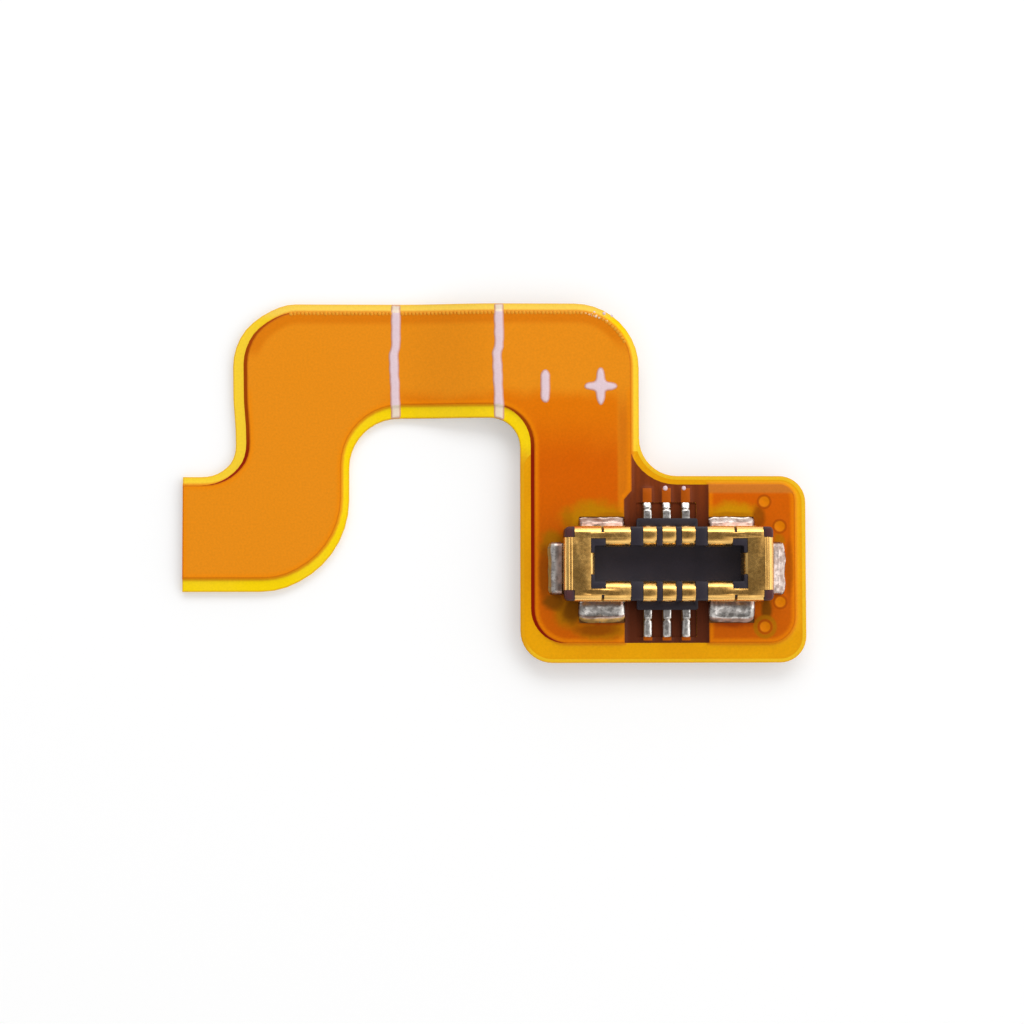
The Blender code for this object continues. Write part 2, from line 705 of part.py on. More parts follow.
def signal_contact_shape(bm, x, side, grown=0.0):
    """A signal contact, or the slightly larger space that it is held in."""
    profile = strip_profile(signal_path(grown), grown)
    half = CONTACT_WIDTH / 2 + grown
    swept(bm, profile, (0, side), (1, 0), x - half, x + half)


def narrow_foot(contact, x, side):
    """Trims the foot of a signal contact, outside the housing, to its narrower width."""
    bm = bmesh.new()
    for edge in (-1, 1):
        ends = sorted((x + edge * CONTACT_FOOT_WIDTH / 2, x + edge * CONTACT_WIDTH))
        span = sorted((side * (outer_face + BOND_GAP), side * (signal_foot_end + SHEET)))
        trim = rounded(rectangle(*ends, *span), METAL_ARC_STEPS)
        prism(bm, trim, plug_base - SHEET, plug_base + TAB_HEIGHT)
    combine(contact, made("trim", bm), "DIFFERENCE")


def power_straps(side, grown=0.0):
    """The bent straps that make up one power contact: profile, outward and running direction, ends."""
    crest = plug_top - SHEET / 2
    foot = plug_base + SHEET / 2
    outer_y = outer_face - SHEET / 2
    inner_y = inner_face + SHEET / 2
    outer_x = power_end - SHEET / 2
    inner_x = power_cavity_face + SHEET / 2
    tip = cavity_floor + CONTACT_TIP_ABOVE_FLOOR - grown
    flank = plug_base + TAB_HEIGHT - grown
    straps = []

    def add(path, out, along, start, end):
        profile = strip_profile(path, grown)
        straps.append((profile, out, along, min(start, end) - grown, max(start, end) + grown))

    end_out, end_along = (side, 0), (0, 1)
    end_path = [
        (outer_x, flank, 0.0),
        (outer_x, crest, POWER_BEND_RADIUS),
        (plate_edge_x - grown, crest, 0.0),
    ]
    add(end_path, end_out, end_along, -end_strap_width / 2, end_strap_width / 2)
    foot_path = [
        (end_foot_reach + grown, foot, 0.0),
        (outer_x, foot, FOOT_RADIUS),
        (outer_x, plug_top - 2 * SHEET, 0.0),
    ]
    add(foot_path, end_out, end_along, -end_foot_width / 2, end_foot_width / 2)
    cavity_path = [
        ((plate_edge_x + power_corner) / 2, crest, 0.0),
        (inner_x, crest, POWER_BEND_RADIUS),
        (inner_x, tip, 0.0),
    ]
    add(cavity_path, end_out, end_along, -cavity_strap_width / 2, cavity_strap_width / 2)
    for row in (1, -1):
        out, along = (0, row), (1, 0)
        arm_path = [
            (outer_y, flank, 0.0),
            (outer_y, crest, POWER_BEND_RADIUS),
            (plate_edge_y - grown, crest, 0.0),
        ]
        add(arm_path, out, along, side * power_corner, side * power_arm_end)
        lip_path = [
            ((plate_edge_y + outer_face) / 2, crest, 0.0),
            (inner_y, crest, POWER_BEND_RADIUS),
            (inner_y, tip, 0.0),
        ]
        add(lip_path, out, along, side * lip_start, side * power_arm_end)
        arm_foot_path = [
            (arm_foot_reach + grown, foot, 0.0),
            (outer_y, foot, FOOT_RADIUS),
            (outer_y, plug_top - 2 * SHEET, 0.0),
        ]
        add(arm_foot_path, out, along, side * arm_foot_start, side * arm_foot_end)
    return straps


def power_plate(side, grown=0.0):
    """The flat top of a power contact, between its two arms."""
    ends = sorted((side * (power_corner + grown), side * (plate_edge_x - grown)))
    reach = (plate_edge_y + outer_face) / 2
    outline = rounded(rectangle(*ends, -reach, reach), METAL_ARC_STEPS)
    return outline, plug_top - SHEET - grown, plug_top + grown


def power_contact(name, side, metal):
    bm = bmesh.new()
    prism(bm, *power_plate(side))
    contact = made(name, bm, metal)
    for strap in power_straps(side):
        bm = bmesh.new()
        swept(bm, *strap)
        combine(contact, made("strap", bm), "UNION")
    bm = bmesh.new()
    for row in (1, -1):
        ends = sorted(side * (arm_slit_x + edge * ARM_SLIT_WIDTH / 2) for edge in (-1, 1))
        span = sorted((row * (outer_face - POWER_BEND_RADIUS), row * (outer_face + SHEET)))
        slit = rounded(rectangle(*ends, *span), METAL_ARC_STEPS)
        prism(bm, slit, plug_top - 3 * SHEET, plug_top + SHEET)
    combine(contact, made("slits", bm), "DIFFERENCE")
    smooth(contact)


def signal_contacts(metal):
    for number, (x, side) in enumerate(signal_places(), start=1):
        bm = bmesh.new()
        signal_contact_shape(bm, x, side)
        contact = made(f"signal_contact_{number}", bm, metal)
        narrow_foot(contact, x, side)
        smooth(contact)


def plug_housing(plastic):
    """The moulded body: a trough with a ledge on each long side, and a seat for every contact."""
    body = rectangle(
        -HOUSING_LENGTH / 2, HOUSING_LENGTH / 2, -HOUSING_WIDTH / 2, HOUSING_WIDTH / 2, HOUSING_RADIUS
    )
    full = rounded(body, METAL_ARC_STEPS)
    narrowed = rounded(inset(body, HOUSING_CHAMFER), METAL_ARC_STEPS)
    top = plug_base + HOUSING_HEIGHT
    bm = bmesh.new()
    levels = ((full, plug_base), (full, top - HOUSING_CHAMFER), (narrowed, top))
    loft(bm, [[(x, y, z) for x, y in outline] for outline, z in levels])
    housing = made("plug_housing", bm, plastic)

    ledge = rounded(
        rectangle(-TAB_LENGTH / 2, TAB_LENGTH / 2, -tab_reach, tab_reach, HOUSING_RADIUS / 2),
        METAL_ARC_STEPS,
    )
    combine(housing, prism_object("ledge", ledge, plug_base, plug_base + TAB_HEIGHT), "UNION")

    hollow = rectangle(-cavity_end, cavity_end, -cavity_side, cavity_side, CAVITY_RADIUS)
    outline = rounded(hollow, METAL_ARC_STEPS)
    combine(housing, prism_object("cavity", outline, cavity_floor, plug_top + SHEET), "DIFFERENCE")

    for x, side in signal_places():
        bm = bmesh.new()
        signal_contact_shape(bm, x, side, BOND_GAP)
        combine(housing, made("seat", bm), "DIFFERENCE")
    for side in (-1, 1):
        bm = bmesh.new()
        prism(bm, *power_plate(side, BOND_GAP))
        combine(housing, made("seat", bm), "DIFFERENCE")
        for strap in power_straps(side, BOND_GAP):
            bm = bmesh.new()
            swept(bm, *strap)
            combine(housing, made("seat", bm), "DIFFERENCE")


# Solder


def bead_profile(foot_end, toe):
    """A bead that fills the space under a foot and runs out in a hollow slope past its end."""
    low = upper_copper_high + BOND_GAP
    sole = plug_base - BOND_GAP
    crest = plug_base + SOLDER_CLIMB
    face = foot_end + BOND_GAP
    slope = []
    for k in range(METAL_ARC_STEPS + 1):
        angle = math.pi / 2 * k / METAL_ARC_STEPS
        s = toe - (toe - face) * math.sin(angle)
        z = crest - (crest - low - SOLDER_TOE) * math.cos(angle)
        slope.append((s, z))
    return [(foot_end - SOLDER_TUCK, low), (toe, low), *slope, (face, sole), (foot_end - SOLDER_TUCK, sole)]


def signal_solder(alloy):
    for number, (x, side) in enumerate(signal_places(), start=1):
        toe = signal_solder_reach + side * pattern_y
        bm = bmesh.new()
        profile = bead_profile(signal_foot_end, toe)
        half = SIGNAL_SOLDER_WIDTH / 2
        swept(bm, profile, (0, side), (1, 0), x - half, x + half)
        smooth(made(f"signal_solder_{number}", bm, alloy))


def power_solder(alloy):
    for pole, side in (("negative", -1), ("positive", 1)):
        for place, row in (("upper", 1), ("lower", -1)):
            toe = power_solder_reach + row * pattern_y
            ends = sorted((side * arm_foot_start, side * arm_foot_end))
            bm = bmesh.new()
            swept(bm, bead_profile(arm_foot_reach, toe), (0, row), (1, 0), *ends)
            smooth(made(f"{pole}_solder_{place}", bm, alloy))
        ends = (pattern_y - end_solder_half, pattern_y + end_solder_half)
        profile = bead_profile(end_foot_reach, end_solder_reach)
        bm = bmesh.new()
        swept(bm, profile, (side, 0), (0, 1), *ends)
        smooth(made(f"{pole}_solder_end", bm, alloy))


def main():
    for obj in list(bpy.data.objects):
        bpy.data.objects.remove(obj)

    film = finish("polyimide", (0.87, 0.42, 0.02), 0.35)
    copper = finish("copper", (0.72, 0.28, 0.08), 0.35, 1.0)
    board = finish("stiffener_board", (0.42, 0.15, 0.02), 0.45)
    glue = finish("adhesive", (0.75, 0.60, 0.30), 0.5)
    ink = finish("white_ink", (0.80, 0.74, 0.78), 0.6)
    plastic = finish("black_plastic", (0.02, 0.02, 0.024), 0.5)
    gold = finish("gold_plate", (0.83, 0.58, 0.22), 0.3, 1.0)
    alloy = finish("solder", (0.70, 0.70, 0.70), 0.35, 1.0)

    stiffener(board, glue)
    bottom_coverlay(film)
    copper_layers(copper)
    via_barrels(copper)
    base_film(film)
    top_coverlay(film)
    bend_lines(ink)
    polarity_marks(ink)
    plug_housing(plastic)
    signal_contacts(gold)
    power_contact("negative_contact", -1, gold)
    power_contact("positive_contact", 1, gold)
    signal_solder(alloy)
    power_solder(alloy)


main()
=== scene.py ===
# Battery connector tail: the finish of its film, copper, print, plug and solder.
import math

import bmesh
import bpy
import numpy as np
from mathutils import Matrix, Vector, noise
from mathutils.geometry import delaunay_2d_cdt


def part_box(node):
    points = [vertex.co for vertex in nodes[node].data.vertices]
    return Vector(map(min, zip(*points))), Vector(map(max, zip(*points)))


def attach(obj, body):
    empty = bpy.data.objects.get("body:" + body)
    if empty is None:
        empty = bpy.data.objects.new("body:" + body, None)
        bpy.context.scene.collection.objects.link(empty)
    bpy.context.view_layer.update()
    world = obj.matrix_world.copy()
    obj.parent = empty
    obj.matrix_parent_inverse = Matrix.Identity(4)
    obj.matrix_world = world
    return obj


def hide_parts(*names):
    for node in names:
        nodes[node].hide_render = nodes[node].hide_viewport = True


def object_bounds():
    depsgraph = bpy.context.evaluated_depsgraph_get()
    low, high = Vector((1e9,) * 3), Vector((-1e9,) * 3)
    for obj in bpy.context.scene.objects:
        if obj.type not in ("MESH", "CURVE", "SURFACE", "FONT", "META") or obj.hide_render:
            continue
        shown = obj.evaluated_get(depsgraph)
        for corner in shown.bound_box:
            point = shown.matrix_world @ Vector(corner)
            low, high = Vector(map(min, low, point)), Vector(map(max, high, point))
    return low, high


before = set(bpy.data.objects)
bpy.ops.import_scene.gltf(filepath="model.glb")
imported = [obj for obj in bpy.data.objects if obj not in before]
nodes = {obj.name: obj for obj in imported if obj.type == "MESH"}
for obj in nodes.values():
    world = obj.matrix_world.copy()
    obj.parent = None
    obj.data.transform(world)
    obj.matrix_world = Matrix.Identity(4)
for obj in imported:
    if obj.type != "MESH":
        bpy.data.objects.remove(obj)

mm = 0.001
cadBox = [list(map(float, corner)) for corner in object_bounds()]


# Node tree helpers

def addNode(tree, kind, inputs=None, **settings):
    node = tree.nodes.new(kind)
    for key, value in settings.items():
        setattr(node, key, value)
    for key, value in (inputs or {}).items():
        if isinstance(value, bpy.types.NodeSocket):
            tree.links.new(value, node.inputs[key])
        else:
            node.inputs[key].default_value = value
    return node


def mathNode(tree, operation, a, b=0.0, clamp=False):
    return addNode(tree, "ShaderNodeMath", {0: a, 1: b}, operation=operation, use_clamp=clamp).outputs[0]


def mixColour(tree, factor, a, b, blend="MIX"):
    node = addNode(tree, "ShaderNodeMix", data_type="RGBA", blend_type=blend)
    for socket, value in ((0, factor), (6, a), (7, b)):
        if isinstance(value, bpy.types.NodeSocket):
            tree.links.new(value, node.inputs[socket])
        else:
            node.inputs[socket].default_value = (*value, 1.0) if isinstance(value, tuple) else value
    return node.outputs[2]


def fade(tree, value, low, high):
    # 0 at low, 1 at high, smooth between; low may be the larger
    ends = {0: value, 1: low, 2: high}
    return addNode(tree, "ShaderNodeMapRange", ends, interpolation_type="SMOOTHSTEP").outputs[0]


def span(tree, value, low, high):
    # the same between two places in millimetres
    return fade(tree, value, low * mm, high * mm)


def product(tree, *factors):
    result = factors[0]
    for factor in factors[1:]:
        result = mathNode(tree, "MULTIPLY", result, factor)
    return result


def scaled(tree, value, factor, offset):
    inputs = {0: value, 1: factor, 2: offset}
    return addNode(tree, "ShaderNodeMath", inputs, operation="MULTIPLY_ADD").outputs[0]


def attribute(tree, name):
    return addNode(tree, "ShaderNodeAttribute", attribute_name=name).outputs["Fac"]


def objectPoint(tree):
    return addNode(tree, "ShaderNodeTexCoord").outputs["Object"]


def axesOf(tree, vector=None):
    # x, y and z of a vector, or of the object's own point
    vector = objectPoint(tree) if vector is None else vector
    return addNode(tree, "ShaderNodeSeparateXYZ", {0: vector}).outputs


def vectorMath(tree, operation, a, b=None):
    inputs = {0: a} if b is None else {0: a, 1: b}
    return addNode(tree, "ShaderNodeVectorMath", inputs, operation=operation).outputs


def newGroup(name, inputs, outputs):
    # a shader node group with named sockets; returns the tree, its inputs and its output node
    tree = bpy.data.node_groups.new(name, "ShaderNodeTree")
    kinds = {"value": "NodeSocketFloat", "colour": "NodeSocketColor", "vector": "NodeSocketVector"}
    for label, kind, default in inputs:
        socket = tree.interface.new_socket(name=label, in_out="INPUT", socket_type=kinds[kind])
        socket.default_value = default
    for label, kind in outputs:
        tree.interface.new_socket(name=label, in_out="OUTPUT", socket_type=kinds[kind])
    entry = tree.nodes.new("NodeGroupInput")
    leave = tree.nodes.new("NodeGroupOutput")
    return tree, entry.outputs, leave


def useGroup(tree, group, **values):
    node = tree.nodes.new("ShaderNodeGroup")
    node.node_tree = group
    for key, value in values.items():
        socket = node.inputs[key.replace("_", " ")]
        if isinstance(value, bpy.types.NodeSocket):
            tree.links.new(value, socket)
        else:
            socket.default_value = value
    return node.outputs


def newGeometryGroup(name, inputs):
    # a geometry node group with named inputs; returns the tree, its inputs and its output node
    tree = bpy.data.node_groups.new(name, "GeometryNodeTree")
    tree.interface.new_socket(name="Geometry", in_out="INPUT", socket_type="NodeSocketGeometry")
    kinds = {"value": "NodeSocketFloat", "count": "NodeSocketInt", "object": "NodeSocketObject"}
    kinds["material"] = "NodeSocketMaterial"
    for label, kind in inputs:
        tree.interface.new_socket(name=label, in_out="INPUT", socket_type=kinds[kind])
    tree.interface.new_socket(name="Geometry", in_out="OUTPUT", socket_type="NodeSocketGeometry")
    return tree, tree.nodes.new("NodeGroupInput").outputs, tree.nodes.new("NodeGroupOutput")


def placed(name, data):
    piece = bpy.data.objects.new(name, data)
    bpy.context.scene.collection.objects.link(piece)
    return piece


def smoothed(mesh, degrees):
    mesh.shade_smooth()
    mesh.set_sharp_from_angle(angle=math.radians(degrees))


def evaluated(piece):
    # the piece with its modifiers worked into its mesh
    graph = bpy.context.evaluated_depsgraph_get()
    mesh = bpy.data.meshes.new_from_object(piece.evaluated_get(graph))
    piece.modifiers.clear()
    piece.data = mesh
    return piece


def grownFrom(name, mesh, group, values):
    # the mesh that a geometry node group makes of a mesh, as an object of its own
    piece = placed(name, mesh)
    modifier = piece.modifiers.new("grow", "NODES")
    modifier.node_group = group
    for item in group.interface.items_tree:
        if item.item_type == "SOCKET" and item.in_out == "INPUT" and item.name in values:
            modifier[item.identifier] = values[item.name]
    return evaluated(piece)


# Shared surface effects

grain = {
    "fine": 0.040 * mm,  # size of the finest speckle
    "patch": 0.9 * mm,  # size of the slow changes of tone
    "patchShare": 0.4,  # how much those count in the bumps
}


def buildSurfaceGrain():
    # speckle and slow patches, for tone, roughness and bump
    inputs = [("Speckle Size", "value", grain["fine"]), ("Patch Size", "value", grain["patch"])]
    outputs = [("Speckle", "value"), ("Patch", "value"), ("Height", "value")]
    tree, given, leave = newGroup("surfaceGrain", inputs, outputs)
    point = objectPoint(tree)
    fineScale = mathNode(tree, "DIVIDE", 1.0, given["Speckle Size"])
    patchScale = mathNode(tree, "DIVIDE", 1.0, given["Patch Size"])
    fine = addNode(tree, "ShaderNodeTexNoise", {"Vector": point, "Scale": fineScale, "Detail": 2.0})
    patch = addNode(tree, "ShaderNodeTexNoise", {"Vector": point, "Scale": patchScale, "Detail": 3.0})
    height = mathNode(tree, "ADD", fine.outputs[0], product(tree, patch.outputs[0], grain["patchShare"]))
    tree.links.new(fine.outputs[0], leave.inputs["Speckle"])
    tree.links.new(patch.outputs[0], leave.inputs["Patch"])
    tree.links.new(height, leave.inputs["Height"])
    return tree


def smoothShare(value):
    value = np.clip(value, 0, 1)
    return value * value * (3 - 2 * value)


def flatOffset(tree, centre):
    # the point less the centre, without its height
    offset = vectorMath(tree, "SUBTRACT", objectPoint(tree), centre)[0]
    return vectorMath(tree, "MULTIPLY", offset, (1, 1, 0))[0]


def buildFluxAndShadowHalo():
    # a soft, wavering oval, 1 at its middle: for the flux stains, and for the painted shadow under the
    # lower joints
    inputs = [
        ("Centre", "vector", (0.0, 0.0, 0.0)),
        ("Radii", "vector", (0.001, 0.001, 1.0)),
        ("Ragged", "value", 0.60),
    ]
    tree, given, leave = newGroup("fluxAndShadowHalo", inputs, [("Stain", "value")])
    noiseIn = {"Vector": objectPoint(tree), "Scale": 1 / (0.20 * mm), "Detail": 2.0}
    ripple = addNode(tree, "ShaderNodeTexNoise", noiseIn)
    share = vectorMath(tree, "DIVIDE", flatOffset(tree, given["Centre"]), given["Radii"])[0]
    distance = vectorMath(tree, "LENGTH", share)[1]
    wander = product(tree, mathNode(tree, "SUBTRACT", ripple.outputs[0], 0.5), given["Ragged"])
    reach = mathNode(tree, "ADD", distance, wander)
    tree.links.new(fade(tree, reach, 1.25, 0.50), leave.inputs["Stain"])
    return tree


def buildRingMark():
    # a soft ring, and the disc that it encloses
    inputs = [("Centre", "vector", (0.0, 0.0, 0.0))]
    inputs += [("Radius", "value", 0.1 * mm), ("Width", "value", 0.02 * mm)]
    tree, given, leave = newGroup("ringMark", inputs, [("Ring", "value"), ("Disc", "value")])
    distance = vectorMath(tree, "LENGTH", flatOffset(tree, given["Centre"]))[1]
    away = mathNode(tree, "ABSOLUTE", mathNode(tree, "SUBTRACT", distance, given["Radius"]))
    share = mathNode(tree, "DIVIDE", away, given["Width"])
    tree.links.new(fade(tree, share, 1.0, 0.2), leave.inputs["Ring"])
    tree.links.new(mathNode(tree, "LESS_THAN", distance, given["Radius"]), leave.inputs["Disc"])
    return tree


surfaceGrain = buildSurfaceGrain()
fluxAndShadowHalo = buildFluxAndShadowHalo()
ringMark = buildRingMark()


def newMaterial(name, speckle=None, patch=None, **sockets):
    # a material with its grain, whose sizes are in millimetres
    material = bpy.data.materials.new(name)
    material.use_nodes = True
    tree = material.node_tree
    for key, value in sockets.items():
        tree.nodes["Principled BSDF"].inputs[key.replace("_", " ")].default_value = value
    sizes = {"Speckle_Size": speckle, "Patch_Size": patch}
    sizes = {key: size * mm for key, size in sizes.items() if size}
    return material, tree, useGroup(tree, surfaceGrain, **sizes)


def feed(tree, socket, value):
    tree.links.new(value, tree.nodes["Principled BSDF"].inputs[socket])


def bumped(tree, height, distance, strength, **settings):
    inputs = {"Height": height, "Distance": distance * mm, "Strength": strength}
    bump = addNode(tree, "ShaderNodeBump", inputs, **settings)
    feed(tree, "Normal", bump.outputs[0])
    return bump


def painted(tree, colour, grainOut, amount):
    # the colour a little lighter and darker with the speckle
    factor = scaled(tree, grainOut["Speckle"], 2 * amount, 1.0 - amount)
    value = addNode(tree, "ShaderNodeCombineColor", {0: factor, 1: factor, 2: factor}).outputs[0]
    feed(tree, "Base Color", mixColour(tree, 1.0, colour, value, "MULTIPLY"))
print("shared effects ready")


# Outlines, read from the frame, in millimetres


def facingLoops(name, direction=1):
    # the closed outlines of a node's upper (1) or lower (-1) faces, as arrays of x, y
    bm = bmesh.new()
    bm.from_mesh(nodes[name].data)
    bmesh.ops.remove_doubles(bm, verts=bm.verts, dist=0.0001 * mm)
    bm.normal_update()
    facing = {face for face in bm.faces if face.normal.z * direction > 0.7}
    following = {}
    for face in facing:
        for loop in face.loops:
            if sum(other in facing for other in loop.edge.link_faces) == 1:
                following[loop.vert] = loop.link_loop_next.vert
    loops = []
    while following:
        start, vertex = following.popitem()
        chain = [start]
        while vertex != start:
            chain.append(vertex)
            vertex = following.pop(vertex)
        loops.append(np.array([(v.co.x, v.co.y) for v in chain]) / mm)
    bm.free()
    return [leaning(straightened(loop)) for loop in loops]


def straightened(loop):
    # the same outline without the points that lie on a straight stretch
    ahead = np.roll(loop, -1, axis=0) - loop
    behind = loop - np.roll(loop, 1, axis=0)
    turn = np.abs(behind[:, 0] * ahead[:, 1] - behind[:, 1] * ahead[:, 0])
    return loop[turn > 1e-5]


def resampled(loop, step):
    points = []
    for start, end in zip(loop, np.roll(loop, -1, axis=0)):
        count = max(1, int(round(np.linalg.norm(end - start) / step)))
        points += [start + (end - start) * k / count for k in range(count)]
    return np.array(points)


upright = {  # how far the film's left upright stands to the right of its plain outline, in millimetres
    "y": (-0.60, 1.40, 1.85, 2.10, 2.50, 3.00, 3.70, 4.25, 4.65),
    "right": (0.045, 0.070, 0.110, 0.100, 0.090, 0.050, 0.040, 0.045, 0.100),
    "x": (-7.30, -6.60),  # where that ends, and where the cut end starts, which stays in its place
    "end": (-8.80, -8.30),
}


def leaning(loop):
    # the outline with its left upright a little uneven, as punched
    if loop[:, 0].min() > upright["x"][0]:
        return loop
    loop = resampled(loop, 0.15)
    share = smoothShare((upright["x"][1] - loop[:, 0]) / (upright["x"][1] - upright["x"][0]))
    share *= smoothShare((loop[:, 0] - upright["end"][0]) / (upright["end"][1] - upright["end"][0]))
    loop[:, 0] += np.interp(loop[:, 1], upright["y"], upright["right"]) * share
    return loop


def besideLoop(loop, distance):
    # the outline moved to its right, which is outwards on an anticlockwise one
    ahead = np.roll(loop, -1, axis=0) - loop
    behind = loop - np.roll(loop, 1, axis=0)
    ahead = ahead / np.linalg.norm(ahead, axis=1, keepdims=True)
    behind = behind / np.linalg.norm(behind, axis=1, keepdims=True)
    share = 1 + (ahead * behind).sum(1, keepdims=True)
    normal = np.stack([(ahead + behind)[:, 1], -(ahead + behind)[:, 0]], axis=1)
    return loop + distance * normal / np.maximum(share, 0.3)


def insideOf(points, loops):
    px, py = points[:, 0], points[:, 1]
    inside = np.zeros(len(points), bool)
    for loop in loops:
        for (x0, y0), (x1, y1) in zip(loop, np.roll(loop, -1, axis=0)):
            if y0 != y1:
                crosses = (y0 > py) != (y1 > py)
                inside ^= crosses & (px < x0 + (py - y0) * (x1 - x0) / (y1 - y0))
    return inside


def distanceTo(points, loops):
    best = np.full(len(points), 1e9)
    for loop in loops:
        for start, end in zip(loop, np.roll(loop, -1, axis=0)):
            step = end - start
            length = max(float(step @ step), 1e-12)
            share = np.clip((points - start) @ step / length, 0, 1)
            gap = points - start - share[:, None] * step
            best = np.minimum(best, np.hypot(gap[:, 0], gap[:, 1]))
    return best


def outerOnly(loops):
    # the loop that encloses the most
    return max(loops, key=lambda loop: np.ptp(loop[:, 0]) * np.ptp(loop[:, 1]))


filmOutline = outerOnly(facingLoops("base_film"))
glueSqueeze = 0.022  # how far the glue has run into the film's windows, in millimetres
windowLoops = [loop for loop in facingLoops("top_coverlay") if np.ptp(loop[:, 0]) < 2.0]
windowLoops = [besideLoop(loop, glueSqueeze) for loop in windowLoops]
upperCopper = [outerOnly(facingLoops(name)) for name in ("negative_copper", "positive_pad")]
upperCopper += [outerOnly(facingLoops(name)) for name in sorted(nodes) if name.startswith("signal_pad_")]
lowerCopper = [outerOnly(facingLoops("positive_copper"))]
boardOutline = outerOnly(facingLoops("stiffener"))
viaCentres = []
for name in sorted(nodes):
    if name.startswith("via_barrel_"):
        low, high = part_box(name)
        viaCentres.append(((low.x + high.x) / 2 / mm, (low.y + high.y) / 2 / mm))


def readBend():
    # how far the tail has dropped at each x, from the core film's upper side
    mesh = nodes["base_film"].data
    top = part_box("base_film")[1].z
    points = {}
    for polygon in mesh.polygons:
        if polygon.normal.z > 0.7:
            for index in polygon.vertices:
                x, _, z = mesh.vertices[index].co
                points[round(x / mm, 4)] = (top - z) / mm
    xs = sorted(points)
    return np.array(xs), np.array([points[x] for x in xs])


bendX, bendDrop = readBend()


def dropAt(x):
    return np.interp(x, bendX, bendDrop)


level = {
    "base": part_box("base_film")[1].z / mm,
    "copper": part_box("negative_copper")[1].z / mm,
    "filmTop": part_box("top_coverlay")[1].z / mm,
    "filmThickness": 0.025,
    "underside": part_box("stiffener_adhesive")[1].z / mm + 0.002,
    "lowerCopper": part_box("positive_copper")[1].z / mm,
    "pocket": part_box("positive_copper")[1].z / mm - 0.037,
    "foot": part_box("signal_contact_1")[0].z / mm,
}
print("outlines read:", len(filmOutline), "points,", len(windowLoops), "windows,", len(viaCentres), "vias")


# Materials

film = {
    "bare": (0.96, 0.67, 0.003),
    "barePatchAndSheen": (0.96, 0.64, 0.035),
    "bareTopSheen": (0.96, 0.64, 0.085),
    "bareLandingShade": (0.87, 0.50, 0.016),
    "bareRimShade": (0.76, 0.31, 0.004),
    "besideCopperShade": (0.72, 0.210, 0.001),
    "overBoard": (0.84, 0.375, 0.003),
    "overBoardDeep": (0.76, 0.300, 0.002),
    "copperSheenAndTone": (0.83, 0.272, 0.009),
    "copperHalfSheenAndTone": (0.77, 0.185, 0.001),
    "copperWithoutSheen": (0.67, 0.119, 0.0003),
    "copperBandShade": (0.73, 0.195, 0.003),
    "copperBorderHighlight": (0.90, 0.255, 0.0008),
    "copperShade": (0.50, 0.105, 0.002),
    "copperGrey": (0.62, 0.190, 0.022),
    "legEdgeHighlight": (0.69, 0.180, 0.004),
    "trace": (0.44, 0.088, 0.003),
    "darkTop": (0.235, 0.044, 0.008),
    "darkLow": (0.108, 0.024, 0.009),
    "lineTail": (0.42, 0.066, 0.0005),
    "lineLanding": (0.32, 0.012, 0.0002),
    "haloBright": (0.62, 0.270, 0.0015),
    "halo": (0.54, 0.222, 0.0008),
    "haloDull": (0.44, 0.158, 0.0008),
    "haloBrown": (0.30, 0.066, 0.0008),
    "haloDark": (0.20, 0.062, 0.0012),
    "shadowAndFluxUnderJoint": (0.30, 0.036, 0.0020),
    "viaDisc": (0.78, 0.222, 0.0008),
    "viaRing": (0.42, 0.072, 0.0005),
    # where the film over the copper is deep orange, without its painted sheen, in millimetres: under this
    # y, between these x
    "sheenDownTo": 3.15,
    "sheenlessLeft": -4.9,
    "sheenlessRight": -0.87,
}


filmFinish = {
    "specular": 0.07,
    "bump": (0.0012, 0.6),  # height in millimetres, and strength
    "roughSwing": (0.25, -0.12),  # what the patches add to the roughness, and what offsets it
    "speckle": 0.10,
    "copperSpeckle": 0.11,
    "patch": (0.35, 0.7),  # where in the noise a patch starts and is full
    # the painted shade along the punched edge and beside the copper: fade in millimetres, and strength
    "fromEdge": (0.030, 0.004, 0.50),
    "fromCopper": (0.070, 0.01, 0.85),
}


def layered(tree, colour, places, rows):
    # a layer for each row: its tone, its strength, and the fades (place, low, high) that bound it;
    # a place is a socket and its unit, and a name alone stands for a factor that is ready
    for tone, much, *bounds in rows:
        factors = [much] if much < 1.0 else []
        for bound in bounds:
            if isinstance(bound, str):
                factors.append(places[bound])
            else:
                value, unit = places[bound[0]]
                factors.append(fade(tree, value, bound[1] * unit, bound[2] * unit))
        colour = mixColour(tree, product(tree, *factors), colour, film[tone])
    return colour


def filmMaterial(name, roughness):
    settings = {"Roughness": roughness, "IOR": 1.5, "Specular_IOR_Level": filmFinish["specular"]}
    material, tree, grainOut = newMaterial(name, **settings)
    bumped(tree, grainOut["Height"], *filmFinish["bump"])
    swing, shift = filmFinish["roughSwing"]
    feed(tree, "Roughness", scaled(tree, grainOut["Patch"], swing, roughness + shift))
    return material, tree, grainOut


def patched(tree, grainOut):
    return fade(tree, grainOut["Patch"], *filmFinish["patch"])


def edgeShaded(tree, colour):
    # painted shade: a browner line along the rounded punched edge, and an orange shade beside the copper
    # where the cover film steps down
    for name, tone in (("fromEdge", "bareRimShade"), ("fromCopper", "besideCopperShade")):
        low, high, much = filmFinish[name]
        near = product(tree, fade(tree, attribute(tree, name), low, high), much)
        colour = mixColour(tree, near, colour, film[tone])
    return colour


bareLayers = (  # painted sheen paler along the top, painted shade browner beside the stiffener
    ("bareTopSheen", 1.0, ("y", 4.45, 4.62)),
    ("bareLandingShade", 1.0, ("y", 2.25, 1.75), ("x", -2.9, -2.75)),
    ("bareRimShade", 0.7, ("y", 2.25, 1.75), ("x", -2.9, -2.75), ("x", -2.45, -2.58)),
)


